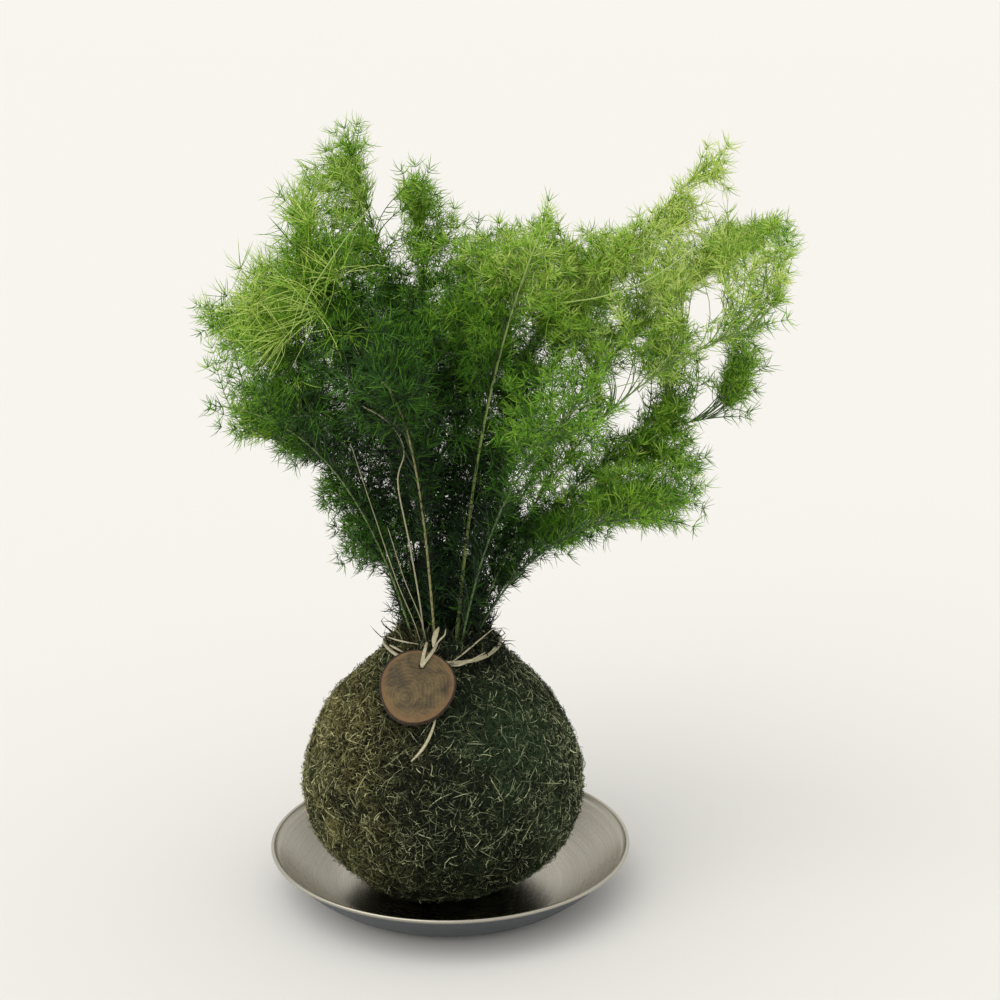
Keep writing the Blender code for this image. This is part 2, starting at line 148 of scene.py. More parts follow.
class Shader:
    """A material and the nodes behind its Principled shader."""

    def __init__(self, name: str) -> None:
        """Starts an empty material.

        Args:
            name: The material's name.
        """
        self.material = bpy.data.materials.new(name)
        self.material.use_nodes = True
        self.tree = self.material.node_tree
        self.surface = self.tree.nodes["Principled BSDF"]

    def plug(self, socket: bpy.types.NodeSocket, item: object) -> None:
        """Links or sets one input socket.

        Args:
            socket: The input to feed.
            item: A Value, an output socket, a number or a tuple.
        """
        if isinstance(item, Value):
            item = item.socket
        if isinstance(item, bpy.types.NodeSocket):
            self.tree.links.new(item, socket)
        elif isinstance(item, tuple) and len(item) == 3 and socket.type == "RGBA":
            socket.default_value = (*item, 1.0)
        else:
            socket.default_value = item

    def node(self, kind: NodeKind, settings: dict, inputs: dict) -> bpy.types.Node:
        """Adds any node.

        Args:
            kind: Which node.
            settings: Its properties. "stops" fills a ramp with (place, colour) pairs.
            inputs: Values or links for its sockets, by name or number.

        Returns:
            The new node.
        """
        made = self.tree.nodes.new(kind.value)
        for key, setting in settings.items():
            if key == "stops":
                while len(made.color_ramp.elements) < len(setting):
                    made.color_ramp.elements.new(1.0)
                for element, (place, colour) in zip(made.color_ramp.elements, setting):
                    element.position = place
                    element.color = (*colour, 1.0)
            else:
                setattr(made, key, setting)
        for key, item in inputs.items():
            self.plug(made.inputs[key], item)
        return made

    def math(self, operation: Sum, *items: Number, clamp: bool = False) -> Value:
        """Adds a Math node.

        Args:
            operation: Which sum.
            items: Its inputs in order.
            clamp: Whether the result is held between 0 and 1.

        Returns:
            The result.
        """
        settings = {"operation": operation.value, "use_clamp": clamp}
        made = self.node(NodeKind.MATH, settings, dict(enumerate(items)))
        return Value(self, made.outputs[0])

    def attribute(self, name: str) -> Value:
        """A number stored on the mesh under that name."""
        return Value(self, self.node(NodeKind.ATTRIBUTE, {"attribute_name": name}, {}).outputs["Fac"])

    def position(self, scale: Place = (1.0, 1.0, 1.0)) -> bpy.types.NodeSocket:
        """The piece's own coordinates in metres, stretched by scale."""
        place = self.node(NodeKind.COORDINATES, {}, {}).outputs["Object"]
        return self.node(NodeKind.MAPPING, {}, {"Vector": place, "Scale": scale}).outputs[0]

    def axes(self) -> tuple[Value, Value, Value]:
        """The piece's own x, y and z in metres."""
        parts = self.node(NodeKind.SEPARATE, {}, {"Vector": self.position()}).outputs
        return Value(self, parts[0]), Value(self, parts[1]), Value(self, parts[2])

    def vector(self, x: Number, y: Number, z: Number) -> bpy.types.NodeSocket:
        """A vector of three numbers."""
        return self.node(NodeKind.COMBINE, {}, {0: x, 1: y, 2: z}).outputs[0]

    def noise(
        self,
        scale: float,
        detail: float = 3.0,
        vector: Optional[bpy.types.NodeSocket] = None,
        warp: float = 0.0,
    ) -> Value:
        """Cloudy noise around 0.5.

        Args:
            scale: Lumps in a unit of the vector.
            detail: Levels of finer noise.
            vector: Where to read it, or the piece's own coordinates.
            warp: How far the noise bends itself.

        Returns:
            The noise.
        """
        place = self.position() if vector is None else vector
        inputs = {"Vector": place, "Scale": scale, "Detail": detail, "Distortion": warp}
        return Value(self, self.node(NodeKind.NOISE, {}, inputs).outputs["Fac"])

    def ramp(self, factor: Value, stops: Sequence[tuple[float, Colour]]) -> bpy.types.NodeSocket:
        """A colour read off a ramp of (place, colour) stops."""
        return self.node(NodeKind.RAMP, {"stops": stops}, {"Fac": factor}).outputs["Color"]

    def blend(
        self, factor: Number, first: object, second: object, way: Blend = Blend.MIX
    ) -> bpy.types.NodeSocket:
        """Lays the second colour over the first.

        Args:
            factor: How much of the second colour.
            first: A colour or a colour socket.
            second: A colour or a colour socket.
            way: How they combine.

        Returns:
            The mixed colour.
        """
        settings = {"data_type": "RGBA", "blend_type": way.value, "clamp_factor": True}
        return self.node(NodeKind.MIX, settings, {0: factor, 6: first, 7: second}).outputs[2]

    def bump(self, height: Value, strength: float, depth: float) -> bpy.types.NodeSocket:
        """A normal that follows the height, which is depth metres from 0 to 1."""
        inputs = {"Height": height, "Strength": strength, "Distance": depth}
        return self.node(NodeKind.BUMP, {}, inputs).outputs["Normal"]

    def done(self, **inputs: object) -> bpy.types.Material:
        """Feeds the Principled shader. Underscores in a key stand for the spaces of the socket's name."""
        for key, item in inputs.items():
            self.plug(self.surface.inputs[key.replace("_", " ")], item)
        return self.material


# ----------------------------------------------------------------------------------------- finishes


@dataclass(frozen=True)
class NeedleFinish:
    """Soft green needles whose tone carries painted shade and light: nearly black inside the plant,
    yellow-green where light falls on the outer growth, and yellower on young growth.
    """

    name: str = "fern_needles"
    shade: Colour = (0.002, 0.010, 0.002)
    deep: Colour = (0.010, 0.054, 0.004)
    green: Colour = (0.094, 0.280, 0.011)
    lit_green: Colour = (0.320, 0.580, 0.048)
    tip: Colour = (0.700, 0.860, 0.240)
    yellow: Colour = (1.000, 0.900, 0.560)

    def material(self) -> bpy.types.Material:
        """Builds the material."""
        shader = Shader(self.name)
        tone = shader.attribute("tone") + (shader.noise(60.0, 2.0) - 0.5) * 0.20
        # The ramp paints shade and light: its two darkest stops are painted shade inside the plant, its two
        # brightest painted light on the outer growth, and the very top a painted highlight.
        low = ((0.0, self.shade), (0.16, self.deep), (0.44, self.green))
        stops = (*low, (0.74, self.lit_green), (1.0, self.tip))
        colour = shader.ramp(tone + (shader.attribute("along") - 0.5) * 0.10, stops)
        young = shader.attribute("hue").step(0.60, 1.0) * 0.80
        warm = shader.blend(young, colour, self.yellow, Blend.MULTIPLY)
        rough = shader.noise(900.0) * 0.16 + 0.46
        return shader.done(Base_Color=warm, Roughness=rough, Specular_IOR_Level=0.30)


@dataclass(frozen=True)
class StalkFinish:
    """Smooth stalks, pale green to olive, with fine ribs along them; twigs and shoots deep in the plant are
    darkened with painted shade.
    """

    name: str = "fern_stalks"
    dark: Colour = (0.020, 0.045, 0.014)
    green: Colour = (0.075, 0.135, 0.040)
    pale: Colour = (0.320, 0.450, 0.110)
    straw: Colour = (0.280, 0.230, 0.110)

    def material(self) -> bpy.types.Material:
        """Builds the material."""
        shader = Shader(self.name)
        tone = shader.attribute("tone") + (shader.noise(140.0) - 0.5) * 0.25
        colour = shader.ramp(tone, ((0.0, self.dark), (0.45, self.green), (0.9, self.pale)))
        dried = shader.blend(shader.attribute("hue").step(0.72, 0.95), colour, self.straw)
        ribs = shader.noise(1.0, 2.0, shader.position((2600.0, 2600.0, 90.0)))
        normal = shader.bump(ribs, 0.35, 0.0002)
        return shader.done(Base_Color=dried, Roughness=ribs * 0.2 + 0.38, Normal=normal)


@dataclass(frozen=True)
class MossFinish:
    """Felted moss: dark olive and brown with pale straws and green in patches, with painted light: a
    yellowish lit upper left shoulder and lighter left and right sides.
    """

    name: str = "moss_fibres"
    pit: Colour = (0.002, 0.004, 0.002)
    brown: Colour = (0.011, 0.015, 0.007)
    olive: Colour = (0.080, 0.106, 0.040)
    dry: Colour = (0.760, 0.820, 0.490)
    green: Colour = (0.046, 0.098, 0.038)
    ochre: Colour = (0.270, 0.235, 0.080)
    painted_light_gold: Colour = (0.920, 0.850, 0.400)
    patch: Place = (0.032, -0.042, 0.098)

    def material(self) -> bpy.types.Material:
        """Builds the material."""
        shader = Shader(self.name)
        x, y, z = shader.axes()
        # Painted light: the fibres' tone is raised towards the right and the left side of the ball.
        rim = (x - 0.026).step(0.0, 0.034) * 0.15 + (-0.030 - x).step(0.0, 0.030) * 0.08
        tone = shader.attribute("tone") + (shader.noise(70.0, 4.0) - 0.5) * 0.40 + rim
        stops = ((0.0, self.pit), (0.26, self.brown), (0.58, self.olive), (1.0, self.dry))
        felt = shader.ramp(tone, stops)
        x_off, y_off, z_off = x - self.patch[0], y - self.patch[1], z - self.patch[2]
        away = (x_off * x_off + y_off * y_off + z_off * z_off) ** 0.5 + (shader.noise(60.0, 3.0) - 0.5) * 0.05
        shaded = 1.0 - shader.attribute("tone").step(0.30, 0.90) * 0.75
        mossy = shader.blend((1.0 - away.step(0.010, 0.042)) * shaded * 0.62, felt, self.green)
        spots = shader.noise(34.0, 3.0, None, 0.6).step(0.56, 0.66) * shaded * 0.35
        speckled = shader.blend(spots, mossy, self.green)
        # Painted light: the upper left of the ball, where the light falls, turns yellowish in patches, fully
        # so high up and half so low down.
        left = (-0.004 - x).step(0.0, 0.056)
        high = (z - 0.010).step(0.0, 0.080) * 0.5 + 0.5
        painted_light_gold = left * high * shader.noise(38.0).step(0.25, 0.60)
        painted_light_felt = shader.ramp(tone, ((0.04, self.pit), (0.34, self.ochre), (0.95, self.painted_light_gold)))
        felt_with_painted_light = shader.blend(painted_light_gold * 0.90, speckled, painted_light_felt)
        rough = shader.noise(500.0) * 0.2 + 0.72
        return shader.done(Base_Color=felt_with_painted_light, Roughness=rough, Specular_IOR_Level=0.25)


@dataclass(frozen=True)
class MossBedFinish:
    """The mat under the loose fibres, painted nearly black as the shade in the gaps between them, with darker
    painted shade in its pits.
    """

    name: str = "moss_bed"
    # Painted shade: near-black tones for the gaps under the fibres, blackest in the pits.
    pit: Colour = (0.002, 0.003, 0.002)
    brown: Colour = (0.010, 0.011, 0.006)
    olive: Colour = (0.035, 0.036, 0.018)

    def material(self) -> bpy.types.Material:
        """Builds the material."""
        shader = Shader(self.name)
        mat = shader.noise(520.0, 5.0, None, 1.8)
        lumps = shader.noise(60.0, 3.0)
        stops = ((0.30, self.pit), (0.52, self.brown), (0.75, self.olive))
        colour = shader.ramp(mat * 0.75 + lumps * 0.25, stops)
        normal = shader.bump(mat, 0.9, 0.0015)
        rough = mat * 0.15 + 0.8
        return shader.done(Base_Color=colour, Roughness=rough, Normal=normal, Specular_IOR_Level=0.2)


@dataclass(frozen=True)
class StrawFinish:
    """Dry raffia and straw: pale, with fine fibres along it and grey stains."""

    name: str = "raffia_strip"
    pale: Colour = (0.600, 0.570, 0.410)
    shade: Colour = (0.330, 0.285, 0.165)
    stain: Colour = (0.140, 0.115, 0.062)

    def material(self) -> bpy.types.Material:
        """Builds the material."""
        shader = Shader(self.name)
        fibres = shader.noise(1.0, 4.0, shader.position((2400.0, 2400.0, 180.0)))
        stains = shader.noise(160.0, 3.0)
        colour = shader.blend(fibres.step(0.35, 0.70), self.shade, self.pale)
        stained = shader.blend(stains.step(0.55, 0.80) * 0.6, colour, self.stain)
        normal = shader.bump(fibres, 0.6, 0.0004)
        return shader.done(Base_Color=stained, Roughness=fibres * 0.25 + 0.5, Normal=normal)


@dataclass(frozen=True)
class SteelFinish:
    """Spun stainless steel, brushed in circles round the dish's axis, duller on its outside, where a dark
    blue-grey is painted reflection of the shaded floor under the belly.
    """

    name: str = "brushed_dish_steel"
    bright: Colour = (0.530, 0.500, 0.415)
    dull: Colour = (0.350, 0.333, 0.280)
    # Painted reflection: the dark blue-grey of the underside, which stands for the shaded floor seen in it.
    outside: Colour = (0.115, 0.130, 0.146)

    def material(self) -> bpy.types.Material:
        """Builds the material."""
        shader = Shader(self.name)
        x, y, z = shader.axes()
        radius = (x * x + y * y) ** 0.5
        angle = shader.math(Sum.ANGLE, y, x)
        brushing = shader.noise(1.0, 4.0, shader.vector(radius * 2600.0, angle * 1.2, z * 1200.0))
        smears = shader.noise(26.0, 3.0, None, 0.4)
        wear = (brushing * 0.7 + smears * 0.3).step(0.30, 0.70)
        # The outside mask lays the painted dark reflection over the underside.
        under = shader.attribute("outside")
        colour = shader.blend(under, shader.blend(wear, self.dull, self.bright), self.outside)
        rough = brushing * 0.08 + smears * 0.14 + under * 0.15 + 0.16
        normal = shader.bump(brushing, 0.07, 0.00005)
        return shader.done(Base_Color=colour, Metallic=1.0, Roughness=rough, Normal=normal, Anisotropic=0.4)


@dataclass(frozen=True)
class SliceFinish:
    """Varnished end grain: faint rings round an off-centre pith, streaks, stains and a paler edge."""

    name: str = "wood_slice_face"
    light: Colour = (0.160, 0.110, 0.038)
    dark: Colour = (0.034, 0.022, 0.008)
    stain: Colour = (0.030, 0.018, 0.008)
    glow: Colour = (0.200, 0.105, 0.034)
    pith: tuple[float, float] = (-0.0050, -0.0060)
    ring_gap: float = 0.0017

    def material(self) -> bpy.types.Material:
        """Builds the material."""
        shader = Shader(self.name)
        x, y, _ = shader.axes()
        across, along = x - self.pith[0], y - self.pith[1]
        waver = (shader.noise(80.0, 4.0) - 0.5) * 0.0075
        reach = (across * across + along * along * 0.8) ** 0.5 + waver
        rings = (reach * (math.tau / self.ring_gap)).sine() * 0.5 + 0.5
        grain = shader.noise(1.0, 5.0, shader.position((260.0, 1500.0, 1500.0)), 0.6)
        blotch = shader.noise(110.0, 5.0, None, 1.0)
        mixed = rings * 0.08 + grain * 0.22 + blotch * 0.80
        colour = shader.blend(mixed.step(0.36, 0.72), self.light, self.dark)
        spots = shader.noise(420.0, 3.0).step(0.60, 0.72) * 0.6
        pored = shader.blend(spots, colour, self.stain)
        edged = shader.blend(shader.attribute("edge").step(0.80, 0.95) * 0.6, pored, self.glow)
        normal = shader.bump(grain * 0.7 + rings * 0.3, 0.4, 0.0002)
        rough = grain * 0.25 + 0.40
        return shader.done(Base_Color=edged, Roughness=rough, Normal=normal, Specular_IOR_Level=0.4)


@dataclass(frozen=True)
class CrustFinish:
    """A rough dark crust with paler bits.

    stretch, scale, detail and warp shape the noise, low and high are where the pale bits start and are full,
    rough is how dull it is at least, and strength and depth say how far it stands out.
    """

    name: str
    dark: Colour
    light: Colour
    scale: float
    detail: float
    low: float
    high: float
    rough: float
    strength: float
    depth: float
    warp: float = 0.0
    stretch: Place = (1.0, 1.0, 1.0)

    def material(self) -> bpy.types.Material:
        """Builds the material."""
        shader = Shader(self.name)
        crust = shader.noise(self.scale, self.detail, shader.position(self.stretch), self.warp)
        colour = shader.blend(crust.step(self.low, self.high), self.dark, self.light)
        normal = shader.bump(crust, self.strength, self.depth)
        return shader.done(Base_Color=colour, Roughness=crust * 0.2 + self.rough, Normal=normal)


BARK = CrustFinish(
    "wood_slice_bark", (0.016, 0.009, 0.005), (0.070, 0.040, 0.022), 1.0, 4.0, 0.4, 0.7, 0.7, 0.8, 0.0006,
    warp=1.2, stretch=(900.0, 900.0, 260.0),
)
SOIL = CrustFinish(
    "moist_soil", (0.014, 0.009, 0.006), (0.075, 0.050, 0.030), 420.0, 6.0, 0.40, 0.72, 0.75, 0.9, 0.001
)
CROWN = CrustFinish(
    "woody_crown", (0.030, 0.022, 0.012), (0.140, 0.110, 0.055), 320.0, 5.0, 0.36, 0.70, 0.7, 0.8, 0.0008,
    warp=1.0,
)


@dataclass(frozen=True)
class FloorFinish:
    """A plain pale surface with the faintest tooth."""

    name: str = "pale_floor"
    colour: Colour = (0.808, 0.797, 0.772)
    worn: Colour = (0.785, 0.774, 0.750)

    def material(self) -> bpy.types.Material:
        """Builds the material."""
        shader = Shader(self.name)
        tooth = shader.noise(40.0, 2.0)
        colour = shader.blend(tooth * 0.10, self.colour, self.worn)
        return shader.done(Base_Color=colour, Roughness=tooth * 0.05 + 0.85, Specular_IOR_Level=0.1)


# -------------------------------------------------------------------------------------- mesh making


def unit(vectors: np.ndarray) -> np.ndarray:
    """The vectors at length 1."""
    return vectors / np.maximum(np.linalg.norm(vectors, axis=-1, keepdims=True), 1e-12)


def smoothed(stops: Sequence[Place], count: int) -> np.ndarray:
    """Points on one smooth curve through all the stops.

    Args:
        stops: The places the curve passes.
        count: How many points to return.

    Returns:
        The points, evenly spread over the stops.
    """
    knots = np.array(stops, dtype=float)
    padded = np.vstack((2 * knots[0] - knots[1], knots, 2 * knots[-1] - knots[-2]))
    where = np.linspace(0.0, len(knots) - 1.0, count)
    index = np.minimum(where.astype(int), len(knots) - 2)
    share = (where - index)[:, None]
    before, start, end, after = (padded[index + step] for step in range(4))
    first = 2 * start + (end - before) * share
    second = (2 * before - 5 * start + 4 * end - after) * share**2
    third = (3 * start - before - 3 * end + after) * share**3
    return 0.5 * (first + second + third)


@dataclass(frozen=True)
class Strands:
    """Thin tapering strands that all have the same number of points and end in a tip.

    lines holds the centre lines (strand, point, xyz), radii the radius at each point, tone how light each
    strand is from 0 to 1, and hue a number from 0 to 1 that tells the strands apart.
    """

    lines: np.ndarray
    radii: np.ndarray
    tone: np.ndarray
    hue: np.ndarray
    sides: int = 3

    def joined(self, other: "Strands") -> "Strands":
        """These strands and the other ones together."""
        pairs = ((getattr(self, key), getattr(other, key)) for key in ("lines", "radii", "tone", "hue"))
        return Strands(*map(np.concatenate, pairs), self.sides)

    def chosen(self, mask: np.ndarray) -> "Strands":
        """Only the strands that the mask keeps."""
        return Strands(self.lines[mask], self.radii[mask], self.tone[mask], self.hue[mask], self.sides)

    def _points(self, rng: np.random.Generator) -> np.ndarray:
        """Corner points (strand, corner, xyz): the rings from the root up, then the tip."""
        lines, sides = self.lines, self.sides
        ahead = unit(np.gradient(lines, axis=1))
        whole = unit(lines[:, -1] - lines[:, 0])
        helper = unit(np.cross(whole, rng.normal(size=whole.shape)))
        across = unit(np.cross(ahead, helper[:, None, :]))
        other = np.cross(ahead, across)
        angle = math.tau * np.arange(sides) / sides
        spoke = across[:, :-1, None] * np.cos(angle)[:, None] + other[:, :-1, None] * np.sin(angle)[:, None]
        rings = lines[:, :-1, None] + self.radii[:, :-1, None, None] * spoke
        return np.concatenate((rings.reshape(len(lines), -1, 3), lines[:, -1:]), axis=1)

    def _pattern(self) -> tuple[list[list[int]], list[list[tuple[float, float]]]]:
        """Faces of one strand and the place of each of their corners in its cell of the bake map."""
        sides, rings = self.sides, self.lines.shape[1] - 1
        heights = [0.10 + 0.66 * ring / max(rings - 1, 1) for ring in range(rings)] + [0.98]
        faces: list[list[int]] = []
        corners: list[list[tuple[float, float]]] = []
        for ring in range(rings - 1):
            for side in range(sides):
                low, after = ring * sides + side, ring * sides + (side + 1) % sides
                faces.append([low, after, after + sides, low + sides])
                left, right = side / sides, (side + 1) / sides
                bottom, top = heights[ring], heights[ring + 1]
                corners.append([(left, bottom), (right, bottom), (right, top), (left, top)])
        last, tip = (rings - 1) * sides, rings * sides
        for side in range(sides):
            faces.append([last + side, last + (side + 1) % sides, tip])
            left, right = side / sides, (side + 1) / sides
            corners.append([(left, heights[-2]), (right, heights[-2]), ((left + right) / 2, heights[-1])])
        faces.append(list(range(sides))[::-1])
        turns = [math.tau * side / sides for side in range(sides)][::-1]
        corners.append([(0.5 + 0.45 * math.cos(turn), 0.048 + 0.040 * math.sin(turn)) for turn in turns])
        return faces, corners

    def build(self, name: str, seed: int = 0) -> bpy.types.Object:
        """Makes one mesh object of all the strands.

        Args:
            name: The piece's name.
            seed: Seeds the turn of each strand about its own line.

        Returns:
            The object, which carries tone, hue and along as point attributes and its own bake map.
        """
        count = len(self.lines)
        points = self._points(np.random.default_rng(seed))
        corners_each = points.shape[1]
        faces, cell = self._pattern()
        loops = np.array([corner for face in faces for corner in face])
        starts = np.cumsum([0] + [len(face) for face in faces])[:-1]
        strand = np.arange(count)[:, None]
        mesh = bpy.data.meshes.new(name)
        mesh.vertices.add(count * corners_each)
        mesh.vertices.foreach_set("co", points.astype(np.float32).ravel())
        mesh.loops.add(count * len(loops))
        mesh.loops.foreach_set("vertex_index", (loops[None] + strand * corners_each).astype(np.int32).ravel())
        mesh.polygons.add(count * len(faces))
        mesh.polygons.foreach_set("loop_start", (starts[None] + strand * len(loops)).astype(np.int32).ravel())
        mesh.update(calc_edges=True)
        columns = math.ceil(math.sqrt(count))
        rows = math.ceil(count / columns)
        inside = np.array([corner for face in cell for corner in face])
        left = (strand % columns + 0.02 + 0.96 * inside[None, :, 0]) / columns
        low = (strand // columns + inside[None, :, 1]) / rows
        layer = mesh.uv_layers.new(name=BAKE_MAP)
        layer.uv.foreach_set("vector", np.stack((left, low), axis=-1).astype(np.float32).ravel())
        rings = self.lines.shape[1] - 1
        along = np.append(np.repeat(np.arange(rings) / rings, self.sides), 1.0)
        spread = {
            "tone": np.repeat(self.tone, corners_each),
            "hue": np.repeat(self.hue, corners_each),
            "along": np.tile(along, count),
        }
        for key, numbers in spread.items():
            mesh.attributes.new(key, "FLOAT", "POINT").data.foreach_set("value", numbers.astype(np.float32))
        mesh.shade_smooth()
        made = bpy.data.objects.new(name, mesh)
        bpy.context.scene.collection.objects.link(made)
        return made


def solid(name: str, points: Iterable[Sequence[float]], faces: Iterable[Sequence[int]]) -> bpy.types.Object:
    """Makes a smooth mesh object.

    Args:
        name: The piece's name.
        points: Its corners.
        faces: Its faces as corner numbers.

    Returns:
        The object.
    """
    mesh = bpy.data.meshes.new(name)
    corners = [tuple(map(float, point)) for point in points]
    mesh.from_pydata(corners, [], [tuple(map(int, face)) for face in faces])
    mesh.shade_smooth()
    made = bpy.data.objects.new(name, mesh)
    bpy.context.scene.collection.objects.link(made)
    return made


def turned(name: str, profile: np.ndarray, steps: int) -> bpy.types.Object:
    """A solid of revolution about the upright axis.

    Args:
        name: The piece's name.
        profile: (radius, z) points that start and end on the axis, with the outside on their left.
        steps: Steps round the axis.

    Returns:
        The object.
    """
    middle = profile[1:-1]
    turn = math.tau * np.arange(steps) / steps
    spoke = np.stack((np.cos(turn), np.sin(turn)), axis=-1)
    rings = np.concatenate(
        (middle[None, :, :1] * spoke[:, None], np.repeat(middle[None, :, 1:], steps, axis=0)), axis=-1
    ).reshape(-1, 3)
    ends = np.array(((0.0, 0.0, profile[0, 1]), (0.0, 0.0, profile[-1, 1])))
    count = len(middle)
    first, last = steps * count, steps * count + 1
    faces: list[list[int]] = []
    for step in range(steps):
        here, after = step * count, (step + 1) % steps * count
        faces.append([first, here, after])
        for index in range(count - 1):
            faces.append([here + index, here + index + 1, after + index + 1, after + index])
        faces.append([here + count - 1, last, after + count - 1])
    return solid(name, np.vstack((rings, ends)), faces)


def bowl(name: str, profile: np.ndarray, steps: int) -> bpy.types.Object:
    """An open bowl about the upright axis.

    Args:
        name: The object's name.
        profile: (radius, z) points from the inner ring outwards.
        steps: Steps round the axis.

    Returns:
        The object.
    """
    turn = math.tau * np.arange(steps) / steps
    points = [(0.0, 0.0, float(profile[0, 1]))]
    points += [(r * math.cos(a), r * math.sin(a), z) for r, z in profile for a in turn]
    faces = [[0, 1 + step, 1 + (step + 1) % steps] for step in range(steps)]
    for ring in range(len(profile) - 1):
        low, high = 1 + ring * steps, 1 + (ring + 1) * steps
        for step in range(steps):
            after = (step + 1) % steps
            faces.append([low + step, high + step, high + after, low + after])
    return solid(name, points, faces)


def strip(
    name: str, stops: Sequence[Place], width: float, thickness: float, taper: float
) -> bpy.types.Object:
    """A flat strip of raffia on a smooth curve, thin at its edges and narrower at its ends.

    Args:
        name: The piece's name.
        stops: Places the strip passes.
        width: Its full width.
        thickness: Its full thickness in the middle.
        taper: Its width at the ends as a share of the full one.

    Returns:
        The object.
    """
    count, sides = 8 * len(stops), 12
    line = smoothed(stops, count)
    ahead = unit(np.gradient(line, axis=0))
    flat = unit(np.cross(ahead, np.array((0.0, -0.82, 0.57))))
    other = np.cross(ahead, flat)
    share = np.linspace(0.0, 1.0, count)
    swell = taper + (1.0 - taper) * np.sin(math.pi * np.clip(share, 0.0, 1.0)) ** 0.6
    turn = math.tau * np.arange(sides) / sides
    curl = 0.35 * np.sin(share * 9.0)
    wide = np.cos(turn)[None, :, None] * flat[:, None] * (width / 2 * swell)[:, None, None]
    lift = np.sin(turn)[None, :] * thickness / 2 + np.cos(2 * turn)[None, :] * (curl * thickness)[:, None]
    points = (line[:, None] + wide + lift[:, :, None] * other[:, None]).reshape(-1, 3)
    faces = [list(range(sides))[::-1]]
    for ring in range(count - 1):
        for side in range(sides):
            low, after = ring * sides + side, ring * sides + (side + 1) % sides
            faces.append([low, after, after + sides, low + sides])
    faces.append(list(range((count - 1) * sides, count * sides)))
    return solid(name, points, faces)


def dressed(
    piece: bpy.types.Object, material: bpy.types.Material, slot: str, *nodes: str
) -> bpy.types.Object:
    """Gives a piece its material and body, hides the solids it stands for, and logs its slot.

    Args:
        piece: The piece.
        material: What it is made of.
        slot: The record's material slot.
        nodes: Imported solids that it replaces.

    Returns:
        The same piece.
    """
    if material.name not in piece.data.materials:
        piece.data.materials.append(material)
    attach(piece, "root")
    if nodes:
        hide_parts(*nodes)
    LOG.info("piece %s: %d points, slot %s", piece.name, len(piece.data.vertices), slot)
    return piece


# ----------------------------------------------------------------------------------- sub-assemblies


@dataclass
class Dish:
    """The spun steel dish with a flat foot, a wall that curves up and out, and a rolled rim."""

    radius: float = 0.0908
    height: float = 0.0242
    foot: float = 0.056
    sheet: float = 0.0010
    bead: float = 0.0009
    curve: float = 1.7
    steps: int = 256
    finish: SteelFinish = field(default_factory=SteelFinish)

    def profile(self) -> np.ndarray:
        """(radius, z) points from the middle of the floor over the rim to the middle of the underside."""
        share = np.linspace(0.0, 1.0, 30)
        wall = self.radius - self.bead - self.foot
        outer = np.stack((self.foot + wall * share, (self.height - self.bead) * share**self.curve), axis=-1)
        inner = outer[:-2] + np.array((-self.sheet * 0.5, self.sheet))
        turn = np.radians(np.linspace(200.0, -60.0, 12))
        centre = np.array((self.radius - self.bead, self.height - self.bead))
        bead = centre + self.bead * np.stack((np.cos(turn), np.sin(turn)), axis=-1)
        floor = np.stack((np.linspace(0.0, self.foot - 0.004, 6), np.full(6, self.sheet)), axis=-1)
        under = np.stack((np.linspace(self.foot - 0.001, 0.0, 6), np.zeros(6)), axis=-1)
        return np.vstack((floor, inner, bead, outer[-3:0:-1], under))

    def build(self) -> None:
        """Builds the dish."""
        profile = self.profile()
        piece = turned("dish_spun", profile, self.steps)
        # Marks the underside for the steel's painted dark reflection.
        bead_end = int(np.argmax(profile[:, 0])) + 4
        outside = np.zeros(len(profile) - 2)
        outside[bead_end - 1 :] = 1.0
        numbers = np.append(np.tile(outside, self.steps), (0.0, 1.0))
        piece.data.attributes.new("outside", "FLOAT", "POINT").data.foreach_set("value", numbers)
        dressed(piece, self.finish.material(), "brushed_steel", "dish")


@dataclass(frozen=True)
class Fibre:
    """A kind of moss fibre.

    length holds the shape and scale of its spread of lengths, limits the shortest and the longest, and curl
    how much it turns. rise is how far its middle stands off: a shape and a scale where it is springy, else
    the least and the most. sunk is how high its root may lie, loose the share with a lifted end, thick its
    largest radius, and light the spread and the top of its tone.
    """

    piece: str
    count: int
    length: tuple[float, float]
    limits: tuple[float, float]
    curl: float
    rise: tuple[float, float]
    springy: bool
    sunk: float
    loose: float
    thick: float
    light: tuple[float, float, float]


